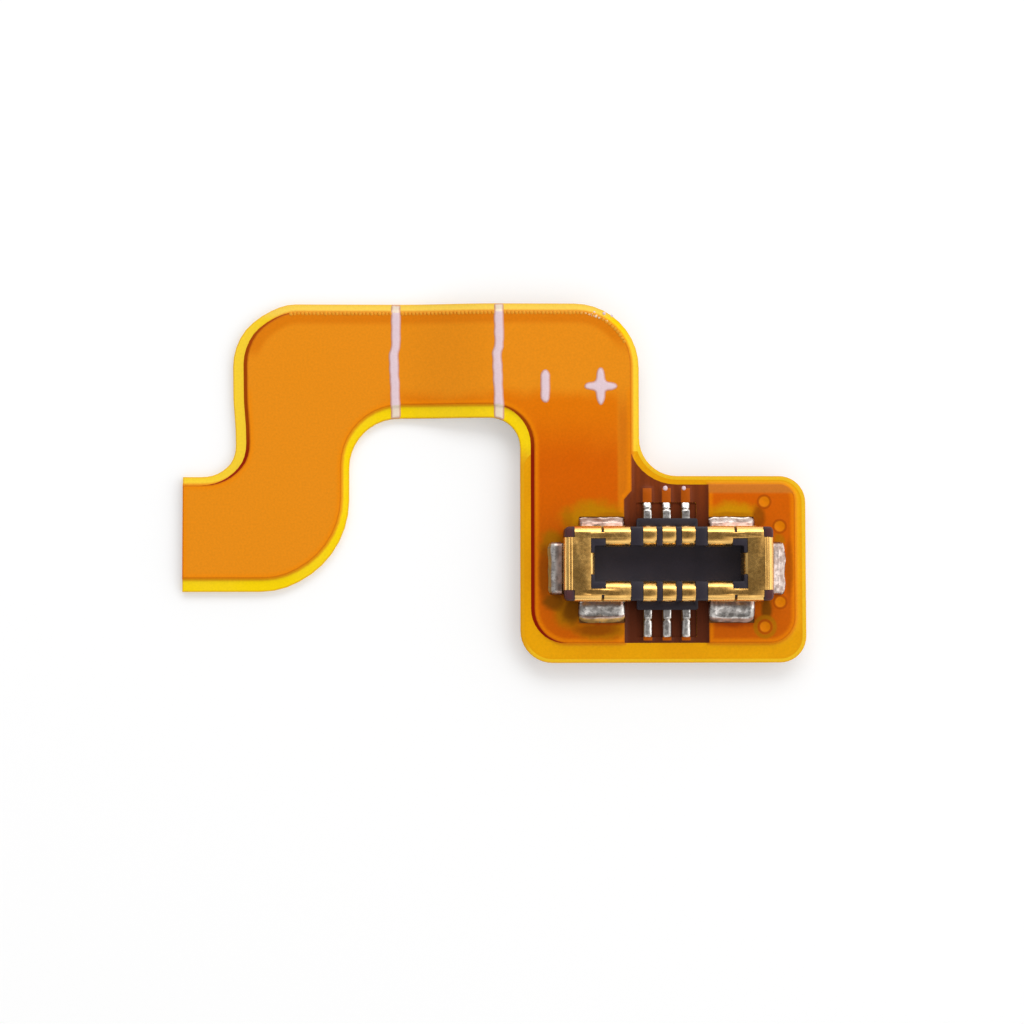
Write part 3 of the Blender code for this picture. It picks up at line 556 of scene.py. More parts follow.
def bareFilmMaterial():
    material, tree, grainOut = filmMaterial("bareFilm", 0.36)
    x, y, _ = axesOf(tree)
    # painted sheen: paler on the upright legs, and paler in random patches all over
    uprightSheen = mathNode(tree, "MAXIMUM", span(tree, x, -7.0, -7.7), span(tree, x, -0.8, -0.6))
    pale = product(tree, uprightSheen, span(tree, y, 0.2, 1.2))
    pale = mathNode(tree, "MAXIMUM", pale, product(tree, patched(tree, grainOut), 0.25))
    colour = mixColour(tree, pale, film["bare"], film["barePatchAndSheen"])
    colour = layered(tree, colour, {"x": (x, mm), "y": (y, mm)}, bareLayers)
    painted(tree, edgeShaded(tree, colour), grainOut, filmFinish["speckle"])
    return material


def filmOverBoardMaterial():
    material, tree, grainOut = filmMaterial("filmOverBoard", 0.36)
    patch = product(tree, patched(tree, grainOut), 0.5)
    colour = mixColour(tree, patch, film["overBoard"], film["overBoardDeep"])
    # a slightly browner line where the edge of the board starts
    start = product(tree, fade(tree, attribute(tree, "fromEdge"), 0.12, 0.075), 0.35)
    colour = mixColour(tree, start, colour, film["overBoardDeep"])
    painted(tree, edgeShaded(tree, colour), grainOut, filmFinish["speckle"])
    return material


stainsAndShadows = [  # centre x, y and radii, all in millimetres from the plug; how much; tone
    (-1.31, 0.82, 0.62, 0.36, 1.00, "halo"),
    (-1.80, 0.80, 0.10, 0.26, 0.60, "haloDull"),
    (-1.00, 0.90, 0.28, 0.055, 0.80, "haloDull"),
    (-2.09, 0.34, 0.25, 0.30, 0.95, "haloDull"),
    (-2.22, -0.18, 0.12, 0.58, 0.90, "haloBrown"),
    (-1.77, -0.86, 0.32, 0.32, 0.95, "haloDull"),
    (-1.18, -1.18, 0.50, 0.22, 0.95, "haloDull"),
    (-2.04, -0.68, 0.22, 0.18, 0.90, "haloDark"),
    (-1.72, -0.84, 0.20, 0.26, 0.95, "haloDark"),
    (-1.28, -1.19, 0.40, 0.12, 0.85, "haloBrown"),
    # red-brown under the lower joint: flux stain, with painted shadow of the joint
    (-1.18, -1.05, 0.44, 0.07, 0.75, "shadowAndFluxUnderJoint"),
    (1.20, 0.92, 0.52, 0.23, 1.00, "haloBright"),
    (1.18, 0.90, 0.48, 0.055, 0.75, "haloDull"),
    (1.69, 0.84, 0.13, 0.24, 0.85, "haloBrown"),
    (2.06, 0.44, 0.12, 0.14, 0.80, "haloDull"),
    (2.24, -0.10, 0.08, 0.56, 0.60, "haloBrown"),
    (1.82, -0.80, 0.11, 0.26, 0.95, "haloDark"),
    # red-brown under the lower joint: flux stain, with painted shadow of the joint
    (1.22, -1.01, 0.56, 0.15, 0.80, "shadowAndFluxUnderJoint"),
]


copperLayers = (  # tone, strength and bounds, in millimetres
    # painted sheen: lighter above the wavy line, and deep orange below it on the leg and at the right
    ("copperHalfSheenAndTone", 1.0, ("wavy", film["sheenDownTo"] + 0.15, film["sheenDownTo"] - 0.20), "side"),
    ("copperWithoutSheen", 1.0, ("wavy", film["sheenDownTo"] - 0.20, film["sheenDownTo"] - 1.40), "side"),
    # a painted highlight: the paler strip beside the right leg's edge, where the lower copper ends
    ("legEdgeHighlight", 1.0, ("x", film["sheenlessRight"] - 0.05, film["sheenlessRight"] + 0.05),
     ("x", 0.4, 0.3), ("y", 3.4, 2.6)),
    ("copperShade", 0.45, ("y", 1.6, 0.0), "side"),
    # painted shade: a darker band a little inside the copper's top border
    ("copperBandShade", 0.85, ("inside", -0.26, -0.14), ("wavy", 3.75, 4.1)),
    # the border: a painted highlight below, and a brown line at the very edge, partly the copper's own
    # edge and partly painted shade of the film's step
    ("copperBorderHighlight", 0.6, ("inside", -0.12, -0.03), ("y", 3.3, 3.1)),
    ("copperShade", 0.55, ("inside", -0.035, -0.005)),
    ("trace", 1.0, ("x", -0.62, -0.58), ("x", 0.62, 0.58)),
    ("copperGrey", 0.9, ("x", 0.6, 0.75), ("y", 1.27, 1.33)),
)

viaMarks = {  # radius and width, in millimetres, of the line round a plated hole
    "ring": (0.114, 0.034),
    "stain": (0.175, 0.065),  # the same for the stain round the last one
}


def filmOverCopperMaterial():
    material, tree, grainOut = filmMaterial("filmOverCopper", 0.38)
    x, y, _ = axesOf(tree)
    wander = product(tree, mathNode(tree, "SUBTRACT", grainOut["Patch"], 0.5), 0.5 * mm)
    left = span(tree, x, film["sheenlessLeft"] - 0.5, film["sheenlessLeft"] + 0.6)
    leg = product(tree, left, span(tree, x, film["sheenlessRight"] + 0.05, film["sheenlessRight"] - 0.05))
    places = {
        "x": (x, mm),
        "y": (y, mm),
        "wavy": (mathNode(tree, "ADD", y, wander), mm),
        "inside": (attribute(tree, "fromCopper"), 1),
        "side": mathNode(tree, "MAXIMUM", leg, span(tree, x, 0.5, 0.6)),
    }
    colour = layered(tree, film["copperSheenAndTone"], places, copperLayers)
    for cx, cy, rx, ry, much, tone in stainsAndShadows:
        sizes = {"Centre": (cx * mm, cy * mm, 0.0), "Radii": (rx * mm, ry * mm, 1.0)}
        halo = useGroup(tree, fluxAndShadowHalo, **sizes)
        colour = mixColour(tree, product(tree, halo["Stain"], much), colour, film[tone])
    for index, (cx, cy) in enumerate(viaCentres):
        marks = [("ring", (("Disc", 0.90, "viaDisc"), ("Ring", 0.85, "viaRing")))]
        if index == len(viaCentres) - 1:
            marks.insert(0, ("stain", (("Ring", 0.85, "haloDull"),)))
        for key, outputs in marks:
            radius, width = (size * mm for size in viaMarks[key])
            mark = useGroup(tree, ringMark, Centre=(cx * mm, cy * mm, 0.0), Radius=radius, Width=width)
            for output, much, tone in outputs:
                colour = mixColour(tree, product(tree, mark[output], much), colour, film[tone])
    painted(tree, colour, grainOut, filmFinish["copperSpeckle"])
    return material


def filmUnderCopperMaterial():
    material, tree, grainOut = filmMaterial("filmUnderCopper", 0.36)
    colour = mixColour(tree, patched(tree, grainOut), film["copperSheenAndTone"], film["copperHalfSheenAndTone"])
    painted(tree, colour, grainOut, filmFinish["copperSpeckle"])
    return material


def filmOverDarkMaterial():
    material, tree, grainOut = filmMaterial("filmOverDark", 0.34)
    x, y, _ = axesOf(tree)
    stripe = addNode(tree, "ShaderNodeTexNoise", noise_dimensions="1D")
    stripe.inputs["Scale"].default_value = 1 / (0.12 * mm)
    stripe.inputs["Detail"].default_value = 1.0
    tree.links.new(x, stripe.inputs["W"])
    colour = mixColour(tree, span(tree, y, 0.2, 1.9), film["darkLow"], film["darkTop"])
    striped = product(tree, fade(tree, stripe.outputs[0], 0.35, 0.65), 0.35)
    colour = mixColour(tree, striped, colour, film["darkLow"])
    # beyond the upper copper's left edges the film over it is thicker, and redder on the landing
    line = mixColour(tree, span(tree, y, 1.9, 2.6), film["lineLanding"], film["lineTail"])
    isLine = mathNode(tree, "MAXIMUM", span(tree, x, -0.95, -1.05), span(tree, y, 2.6, 2.8))
    colour = mixColour(tree, isLine, colour, line)
    colour = mixColour(tree, span(tree, x, 0.80, 0.90), colour, film["copperShade"])
    painted(tree, colour, grainOut, filmFinish["speckle"])
    return material


ink = {"overCopper": (0.79, 0.60, 0.65), "overFilm": (0.84, 0.70, 0.56), "edge": (0.56, 0.19, 0.075)}


def inkMaterial(name, colour):
    material, tree, grainOut = newMaterial(name, 0.03, Roughness=0.55)
    thin = product(tree, attribute(tree, "thin"), 0.95)
    painted(tree, mixColour(tree, thin, colour, ink["edge"]), grainOut, 0.10)
    bumped(tree, grainOut["Height"], 0.003, 0.7)
    return material


metal = {
    "goldBendHighlight": (0.96, 0.61, 0.20),
    "gold": (0.93, 0.53, 0.150),
    "goldWorn": (0.74, 0.40, 0.105),
    "solder": (0.76, 0.72, 0.68),
    "solderDull": (0.30, 0.27, 0.25),
    "solderWallShade": (0.34, 0.17, 0.115),
    "solderGilt": (0.58, 0.33, 0.10),
    # pressed lines: distance from the middle, width, depth
    "groove": ((1.795, 0.014, 1.0), (1.745, 0.016, 0.7)),
    "solderPit": (0.22, 0.20, 0.20),
    "copper": (0.34, 0.15, 0.05),
}


def goldMaterial():
    material, tree, grainOut = newMaterial("goldPlate", 0.06, 0.20, Metallic=1.0)
    along, _, height = axesOf(tree)
    bend = attribute(tree, "bend")
    worn = fade(tree, grainOut["Patch"], 0.38, 0.62)
    colour = mixColour(tree, worn, metal["gold"], metal["goldWorn"])
    # painted highlight: the bends of the contacts lighter gold
    colour = mixColour(tree, bend, colour, metal["goldBendHighlight"])
    tinned = span(tree, height, level["foot"] + 0.10, level["foot"] + 0.07)
    painted(tree, mixColour(tree, tinned, colour, metal["solder"]), grainOut, 0.06)
    feed(tree, "Roughness", scaled(tree, grainOut["Speckle"], 0.24, 0.14))
    rough = product(tree, grainOut["Height"], mathNode(tree, "SUBTRACT", 1.0, bend))
    bump = bumped(tree, rough, 0.0008, 0.30)
    along = mathNode(tree, "ABSOLUTE", along)
    pressed = 0.0
    for place, width, depth in metal["groove"]:
        away = mathNode(tree, "ABSOLUTE", mathNode(tree, "SUBTRACT", along, place * mm))
        line = product(tree, span(tree, away, width, 0.0), depth)
        pressed = mathNode(tree, "ADD", pressed, line)
    groove = bumped(tree, pressed, 0.012, 1.0, invert=True)
    tree.links.new(bump.outputs[0], groove.inputs["Normal"])
    return material


def solderMaterial():
    material, tree, grainOut = newMaterial("solderAlloy", 0.040, 0.12, Metallic=1.0)
    dull = product(tree, fade(tree, grainOut["Patch"], 0.48, 0.60), 0.70)
    colour = mixColour(tree, dull, metal["solder"], metal["solderDull"])
    # painted shade on the solder near the plug's wall
    colour = mixColour(tree, attribute(tree, "paintedWallShade"), colour, metal["solderWallShade"])
    colour = mixColour(tree, attribute(tree, "gilt"), colour, metal["solderGilt"])
    pits = product(tree, fade(tree, grainOut["Speckle"], 0.44, 0.32), 0.6)
    feed(tree, "Base Color", mixColour(tree, pits, colour, metal["solderPit"]))
    feed(tree, "Roughness", scaled(tree, grainOut["Patch"], 0.25, 0.20))
    bumped(tree, grainOut["Height"], 0.0035, 0.6)
    return material


def copperMaterial():
    material, tree, grainOut = newMaterial("copperFoil", 0.02, 0.3, Metallic=1.0)
    painted(tree, metal["copper"], grainOut, 0.15)
    feed(tree, "Roughness", scaled(tree, grainOut["Patch"], 0.3, 0.25))
    return material


plain = {
    "housing": ((0.021, 0.017, 0.024), (0.038, 0.030, 0.042)),
    "housingCornerHighlight": (0.085, 0.026, 0.028),
    "board": ((0.43, 0.165, 0.023), (0.50, 0.205, 0.032)),
    "weave": 0.45,  # from thread to thread of the board's cloth, in millimetres
    "glue": (0.62, 0.36, 0.08),
    "rope": ((0.74, 0.27, 0.012), (0.84, 0.38, 0.035)),
    "fleck": (0.90, 0.78, 0.62),
}


def housingMaterial():
    settings = {"Roughness": 0.42, "Specular_IOR_Level": 0.30}
    material, tree, grainOut = newMaterial("mouldedBlack", 0.02, 0.4, **settings)
    along = mathNode(tree, "ABSOLUTE", axesOf(tree)[0])
    colour = mixColour(tree, grainOut["Patch"], *plain["housing"])
    # painted highlight: the housing's end corners a lighter purple
    colour = mixColour(tree, span(tree, along, 1.66, 1.80), colour, plain["housingCornerHighlight"])
    painted(tree, colour, grainOut, 0.25)
    bumped(tree, grainOut["Height"], 0.0025, 0.7)
    return material


def boardMaterial():
    # glass cloth shows through the resin as a faint square weave
    material, tree, grainOut = newMaterial("stiffenerBoard", 0.03, Roughness=0.45)
    turns = 2 * math.pi / (plain["weave"] * mm)
    threads = [mathNode(tree, "SINE", product(tree, axis, turns)) for axis in axesOf(tree)[:2]]
    weave = fade(tree, product(tree, *threads), -0.6, 0.6)
    painted(tree, mixColour(tree, weave, *plain["board"]), grainOut, 0.10)
    bumped(tree, weave, 0.004, 0.5)
    return material


def glueMaterial():
    material, tree, grainOut = newMaterial("clearGlue", Roughness=0.30)
    painted(tree, plain["glue"], grainOut, 0.10)
    return material


def ropeMaterial():
    # the scalloped edge that the etching left, with pale flecks towards its right end
    settings = {"Roughness": 0.4, "Specular_IOR_Level": 0.10}
    material, tree, grainOut = newMaterial("etchedEdge", 0.05, **settings)
    x, y, _ = axesOf(tree)
    speckle = grainOut["Speckle"]
    corner = product(tree, span(tree, x, -1.60, -1.40), span(tree, y, 4.40, 4.50))
    fleck = product(tree, corner, fade(tree, speckle, 0.48, 0.60), 0.8)
    colour = mixColour(tree, speckle, *plain["rope"])
    feed(tree, "Base Color", mixColour(tree, fleck, colour, plain["fleck"]))
    return material


materials = {
    "rope": ropeMaterial(),
    "bare": bareFilmMaterial(),
    "board": filmOverBoardMaterial(),
    "copper": filmOverCopperMaterial(),
    "dark": filmOverDarkMaterial(),
    "underCopper": filmUnderCopperMaterial(),
    "inkAndGlintsOverCopper": inkMaterial("inkAndGlintsOverCopper", ink["overCopper"]),
    "inkOverFilm": inkMaterial("inkOverFilm", ink["overFilm"]),
    "gold": goldMaterial(),
    "solder": solderMaterial(),
    "foil": copperMaterial(),
    "housing": housingMaterial(),
    "stiffener": boardMaterial(),
    "glue": glueMaterial(),
}
print("materials ready")


# Sheets cut along outlines

sheet = {
    "grid": 0.10,  # spacing of the inner points, in millimetres
    "copperGrid": 0.30,  # the same for the copper
    # finer lines of points: along the punched edge, inside the copper's border, round a plated hole
    "edgeLine": 0.035,
    "borderLines": (0.03, 0.10, 0.15, 0.20),
    "viaLines": (0.055, 0.095, 0.115, 0.14),
    # over a plated hole: radius, width and height of the ring; radius, slope and depth of the dip
    "viaRing": (0.115, 0.02, 0.004),
    "viaDip": (0.095, 0.04, 0.010),
    "overCopper": 0.001,  # from the copper to the underside of the cover film
    "step": 0.12,  # and of the points along an outline
    "slope": 0.055,  # width over which the cover film steps down from the copper
    "edgeRoll": 0.018,  # width of the rounded-off edge of the film
    "edgeDrop": 0.006,
    "pocketStep": 0.02,
    "wave": 0.004,  # height of the film's slow waves
    "waveLength": 1.3,
}


def gridPoints(outline, contours, spacing):
    low, high = outline.min(0), outline.max(0)
    xs = np.arange(low[0] + spacing / 2, high[0], spacing)
    ys = np.arange(low[1] + spacing / 2, high[1], spacing)
    points = np.array([(x, y + (spacing / 2 if i % 2 else 0)) for i, x in enumerate(xs) for y in ys])
    points = points[insideOf(points, [outline])]
    return points[distanceTo(points, contours) > spacing * 0.3]


def cutSheet(contours, points):
    coords, edges = [], []
    for loop in contours:
        loop = resampled(loop, sheet["step"])
        start, count = len(coords), len(loop)
        coords += [Vector(point) for point in loop]
        edges += [(start + i, start + (i + 1) % count) for i in range(count)]
    coords += [Vector(point) for point in points]
    found = delaunay_2d_cdt(coords, edges, [], 0, 1e-5)
    flat = np.array([tuple(v) for v in found[0]])
    triangles = np.array([tuple(face) for face in found[2]])
    a, b, c = (flat[triangles[:, i]] for i in range(3))
    area = (b[:, 0] - a[:, 0]) * (c[:, 1] - a[:, 1]) - (b[:, 1] - a[:, 1]) * (c[:, 0] - a[:, 0])
    triangles[area < 0] = triangles[area < 0][:, ::-1]
    return flat, triangles[np.abs(area) > 1e-9], (a + b + c)[np.abs(area) > 1e-9] / 3


def cutInside(outline, contours, spacing, holes=()):
    # the triangles of a sheet that lie inside its outline and outside its holes
    flat, triangles, centres = cutSheet(contours, gridPoints(outline, contours, spacing))
    keep = insideOf(centres, [outline]) & ~insideOf(centres, holes)
    return flat, triangles[keep], centres[keep]


def solidSheet(name, flat, triangles, slots, top, bottom, sheetMaterials, wallSlot=0):
    # a closed sheet between two heights over the same triangles; slots give each triangle's material
    used = np.unique(triangles)
    place = np.full(len(flat), -1)
    place[used] = np.arange(len(used))
    triangles = place[triangles]
    flat, top, bottom = flat[used], top[used], bottom[used]
    count = len(used)
    upper = np.column_stack([flat, top])
    lower = np.column_stack([flat, bottom])
    edges = {}
    for triangle in triangles:
        for i in range(3):
            edges[(triangle[i], triangle[(i + 1) % 3])] = True
    walls = [(a, b) for a, b in edges if (b, a) not in edges]
    faces = [tuple(t) for t in triangles]
    faces += [tuple(t[::-1] + count) for t in triangles]
    faces += [(b, a, a + count, b + count) for a, b in walls]
    mesh = bpy.data.meshes.new(name)
    vertices = (np.vstack([upper, lower]) * mm).tolist()
    mesh.from_pydata(vertices, [], [tuple(int(i) for i in face) for face in faces])
    for material in sheetMaterials:
        mesh.materials.append(material)
    indices = list(slots) + list(slots) + [wallSlot] * len(walls)
    mesh.polygons.foreach_set("material_index", [int(i) for i in indices])
    smoothed(mesh, 42)
    return placed(name, mesh), used


def keepValues(piece, name, values):
    # a value for each upper point, and again for the lower point under it
    layer = piece.data.attributes.new(name, "FLOAT", "POINT")
    layer.data.foreach_set("value", np.tile(values, 2).astype(np.float32))


def wavesAt(points):
    scale = 1 / sheet["waveLength"]
    return np.array([noise.noise(Vector((x * scale, y * scale, 3.7))) for x, y in points]) * sheet["wave"]


def fromCopperEdge(points):
    # distance to the upper copper's outline, negative inside it
    away = distanceTo(points, upperCopper)
    return np.where(insideOf(points, upperCopper), -away, away)


def coverHeight(points):
    # how high the cover film's upper side lies, with its step at the copper's edges
    away = np.maximum(fromCopperEdge(points), 0.0)
    step = level["copper"] - level["base"]
    height = level["filmTop"] - step * smoothShare(away / sheet["slope"]) - dropAt(points[:, 0])
    fromEdge = distanceTo(points, [filmOutline])
    height -= sheet["edgeDrop"] * (1 - smoothShare(fromEdge / sheet["edgeRoll"]))
    ringRadius, ringWidth, ringHeight = sheet["viaRing"]
    dipRadius, dipSlope, dipDepth = sheet["viaDip"]
    for cx, cy in viaCentres:
        r = np.hypot(points[:, 0] - cx, points[:, 1] - cy)
        ring = ringHeight * np.exp(-(((r - ringRadius) / ringWidth) ** 2))
        height += ring - dipDepth * smoothShare((dipRadius - r) / dipSlope)
    height -= sheet["wave"] - np.minimum(wavesAt(points), sheet["wave"])
    return height


def circlePoints(cx, cy, radius, count=24):
    turn = np.linspace(0, 2 * math.pi, count, endpoint=False)
    return np.column_stack([cx + radius * np.cos(turn), cy + radius * np.sin(turn)])


def keepDistances(piece, points):
    keepValues(piece, "fromEdge", distanceTo(points, [filmOutline]))
    keepValues(piece, "fromCopper", fromCopperEdge(points))


def coverFilm():
    contours = [filmOutline, boardOutline, *windowLoops, *lowerCopper]
    contours += [besideLoop(filmOutline, -distance) for distance in (sheet["edgeRoll"], sheet["edgeLine"])]
    for loop in upperCopper:
        contours += [loop, besideLoop(loop, sheet["slope"] / 2), besideLoop(loop, sheet["slope"])]
    for loop in upperCopper[:2]:
        contours += [besideLoop(loop, -distance) for distance in sheet["borderLines"]]
    for cx, cy in viaCentres:
        contours += [circlePoints(cx, cy, radius) for radius in sheet["viaLines"]]
    flat, triangles, centres = cutInside(filmOutline, contours, sheet["grid"], windowLoops)
    slots = np.where(insideOf(centres, [boardOutline]), 1, 0)
    slots = np.where(insideOf(centres, lowerCopper), 3, slots)
    slots = np.where(insideOf(centres, upperCopper), 2, slots)
    top = coverHeight(flat)
    bottom = top - (level["filmTop"] - level["copper"]) + sheet["overCopper"]
    order = [materials[key] for key in ("bare", "board", "copper", "dark")]
    piece, used = solidSheet("coverFilm", flat, triangles, slots, top, bottom, order)
    keepDistances(piece, flat[used])
    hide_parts("top_coverlay")
    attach(piece, "root")
    print("cover film:", len(piece.data.polygons), "faces")


coverFilm()


def coreFilm():
    # the film between the two coppers, which shows in the windows: dark over the lower copper
    holes = [circlePoints(cx, cy, 0.102) for cx, cy in viaCentres]
    contours = [filmOutline, *lowerCopper, *holes]
    flat, triangles, centres = cutInside(filmOutline, contours, sheet["grid"], holes)
    slots = np.where(insideOf(centres, lowerCopper), 1, 0)
    top = level["base"] - dropAt(flat[:, 0])
    bottom = level["base"] - level["filmThickness"] - dropAt(flat[:, 0])
    order = [materials["bare"], materials["dark"]]
    piece, used = solidSheet("coreFilm", flat, triangles, slots, top, bottom, order)
    keepDistances(piece, flat[used])
    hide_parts("base_film")
    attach(piece, "root")


coreFilm()


def underFilm():
    # the film under the lower copper, thinner where the copper lies in it
    step = sheet["pocketStep"]
    contours = [filmOutline, *lowerCopper, *(besideLoop(loop, step) for loop in lowerCopper)]
    flat, triangles, centres = cutInside(filmOutline, contours, sheet["grid"])
    slots = np.where(insideOf(centres, lowerCopper), 1, 0)
    away = np.where(insideOf(flat, lowerCopper), 0.0, distanceTo(flat, lowerCopper))
    thick = level["pocket"] + (level["lowerCopper"] - level["pocket"]) * np.clip(away / step, 0, 1)
    drop = dropAt(flat[:, 0])
    bottom = np.full(len(flat), level["underside"]) - drop
    piece, used = solidSheet(
        "underFilm", flat, triangles, slots, thick - drop, bottom,
        [materials["bare"], materials["underCopper"]],
    )
    keepValues(piece, "fromEdge", distanceTo(flat[used], [filmOutline]))
    keepValues(piece, "fromCopper", away[used])
    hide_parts("bottom_coverlay")
    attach(piece, "root")


underFilm()


def copperSheet(name, node, loop, top, bottom):
    flat, triangles, _ = cutInside(loop, [loop], sheet["copperGrid"])
    drop = dropAt(flat[:, 0])
    slots = [0] * len(triangles)
    piece, _ = solidSheet(name, flat, triangles, slots, top - drop, bottom - drop, [materials["foil"]])
    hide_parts(node)
    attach(piece, "root")


copperSheet("upperCopperSheet", "negative_copper", upperCopper[0], level["copper"], level["base"])
copperSheet("lowerCopperSheet", "positive_copper", lowerCopper[0], level["lowerCopper"], level["pocket"])


rope = {
    "spacing": 0.070,  # from bead to bead, in millimetres
    "radius": 0.034,
    "flatness": 0.30,
    "inset": 0.018,  # of the beads' centres from the copper's edge
    "leftEnd": -6.88,
    "lowestY": 4.05,
    "seed": 7,
}


glintsAndFlecks = (  # x, y, radius: small domes at the tips of two traces, painted pale as glints, and flecks on the etched edge
    (-0.018, 1.385, 0.046),
    (0.319, 1.385, 0.040),
    (-1.30, 4.610, 0.022),
    (-1.12, 4.590, 0.030),
    (-0.98, 4.545, 0.024),
)


def paleSpecks():
    rows = bmesh.new()
    for x, y, radius in glintsAndFlecks:
        z = float(coverHeight(np.array([(x, y)]))[0])
        made = bmesh.ops.create_icosphere(rows, subdivisions=2, radius=radius * mm)["verts"]
        for vertex in made:
            wobble = 1 + 0.25 * noise.noise(vertex.co / (0.03 * mm) + Vector((x, y, 0)) * 9)
            vertex.co.x, vertex.co.y = vertex.co.x * wobble, vertex.co.y * wobble
            vertex.co.z *= 0.35
            vertex.co += Vector((x, y, z)) * mm
    mesh = bpy.data.meshes.new("paleSpecks")
    rows.to_mesh(mesh)
    rows.free()
    # the pale print ink, which also gives the glints their painted highlight
    mesh.materials.append(materials["inkAndGlintsOverCopper"])
    mesh.shade_smooth()
    piece = placed("paleSpecks", mesh)
    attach(piece, "root")


paleSpecks()


def ropeGroup():
    inputs = [("Spacing", "value"), ("Radius", "value"), ("Flatness", "value")]
    inputs += [("Seed", "count"), ("Material", "material")]
    tree, given, leave = newGeometryGroup("ropeEdge", inputs)
    curve = addNode(tree, "GeometryNodeMeshToCurve", {"Mesh": given["Geometry"]})
    even = addNode(tree, "GeometryNodeResampleCurve", mode="LENGTH")
    tree.links.new(curve.outputs[0], even.inputs["Curve"])
    tree.links.new(given["Spacing"], even.inputs["Length"])
    bead = addNode(tree, "GeometryNodeMeshIcoSphere", {"Radius": given["Radius"], "Subdivisions": 2})
    vary = addNode(tree, "FunctionNodeRandomValue", data_type="FLOAT")
    vary.inputs[2].default_value, vary.inputs[3].default_value = 0.82, 1.10
    tree.links.new(given["Seed"], vary.inputs["Seed"])
    wide = vary.outputs[1]
    high = product(tree, wide, given["Flatness"])
    size = addNode(tree, "ShaderNodeCombineXYZ", {0: wide, 1: wide, 2: high})
    places = {"Points": even.outputs[0], "Instance": bead.outputs[0], "Scale": size.outputs[0]}
    beads = addNode(tree, "GeometryNodeInstanceOnPoints", places)
    real = addNode(tree, "GeometryNodeRealizeInstances", {0: beads.outputs[0]})
    finish = {"Geometry": real.outputs[0], "Material": given["Material"]}
    tree.links.new(addNode(tree, "GeometryNodeSetMaterial", finish).outputs[0], leave.inputs[0])
    return tree


def etchedEdge():
    loop = resampled(besideLoop(upperCopper[0], -rope["inset"]), 0.05)
    top = (loop[:, 1] > rope["lowestY"]) & (loop[:, 0] > rope["leftEnd"])
    line = loop[top][np.argsort(np.where(loop[top][:, 1] > 4.55, loop[top][:, 0], 9 - loop[top][:, 1]))]
    heights = coverHeight(line) - 0.002
    mesh = bpy.data.meshes.new("edgeLine")
    points = np.column_stack([line, heights]) * mm
    mesh.from_pydata(points.tolist(), [(i, i + 1) for i in range(len(line) - 1)], [])
    values = {
        "Spacing": rope["spacing"] * mm,
        "Radius": rope["radius"] * mm,
        "Flatness": rope["flatness"],
        "Seed": rope["seed"],
        "Material": materials["rope"],
    }
    piece = grownFrom("etchedEdge", mesh, ropeGroup(), values)
    piece.data.shade_smooth()
    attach(piece, "root")
    print("etched edge:", len(piece.data.vertices), "points")


etchedEdge()


# Print

printInk = {
    "thickness": 0.010,
    "thinnest": 0.0015,  # height over the film along its border
    "sunk": 0.002,  # how far its underside lies under the film's surface
    "step": 0.035,
    "grid": 0.04,
    "wobble": 0.006,
    "edge": 0.040,  # width over which the ink thins out
}


def inkOutline(loop, rounds):
    # the printed shape with its corners run together and its edge a little ragged
    points = resampled(loop, printInk["step"])
    for _ in range(rounds):
        points = points * 0.5 + (np.roll(points, 1, axis=0) + np.roll(points, -1, axis=0)) * 0.25
    shifts = [
        (noise.noise(Vector((x * 7, y * 7, 1.3))), noise.noise(Vector((x * 7, y * 7, 8.1))))
        for x, y in points
    ]
    return points + np.array(shifts) * printInk["wobble"] * 2


def printedMark(name, node, rounds):
    outline = inkOutline(outerOnly(facingLoops(node)), rounds)
    inner = besideLoop(outline, -printInk["edge"])
    contours = [outline, inner, filmOutline]
    contours += [upperCopper[0]]
    contours += [besideLoop(upperCopper[0], sheet["slope"] * k) for k in (0.5, 1)]
    flat, triangles, centres = cutInside(outline, contours, printInk["grid"])
    onFilm = insideOf(centres, [filmOutline])
    triangles, centres = triangles[onFilm], centres[onFilm]
    slots = np.where(insideOf(centres, upperCopper), 0, 1)
    surface = coverHeight(flat)
    edge = smoothShare(distanceTo(flat, [outline]) / printInk["edge"])
    top = surface + printInk["thinnest"] + (printInk["thickness"] - printInk["thinnest"]) * edge
    order = [materials["inkAndGlintsOverCopper"], materials["inkOverFilm"]]
    piece, used = solidSheet(name, flat, triangles, slots, top, surface - printInk["sunk"], order)
    keepValues(piece, "thin", 1 - edge[used])
    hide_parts(node)
    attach(piece, "root")


for name, node, rounds in (
    ("bendLineLeft", "bend_line_left", 1),
    ("bendLineRight", "bend_line_right", 1),
    ("negativeMark", "negative_mark", 2),
    ("positiveMark", "positive_mark", 2),
):
    printedMark(name, node, rounds)
print("print ready")


# Stamped and moulded pieces: the frame's own shapes with softened edges

softening = {"metal": 0.006 * mm, "plastic": 0.005 * mm}


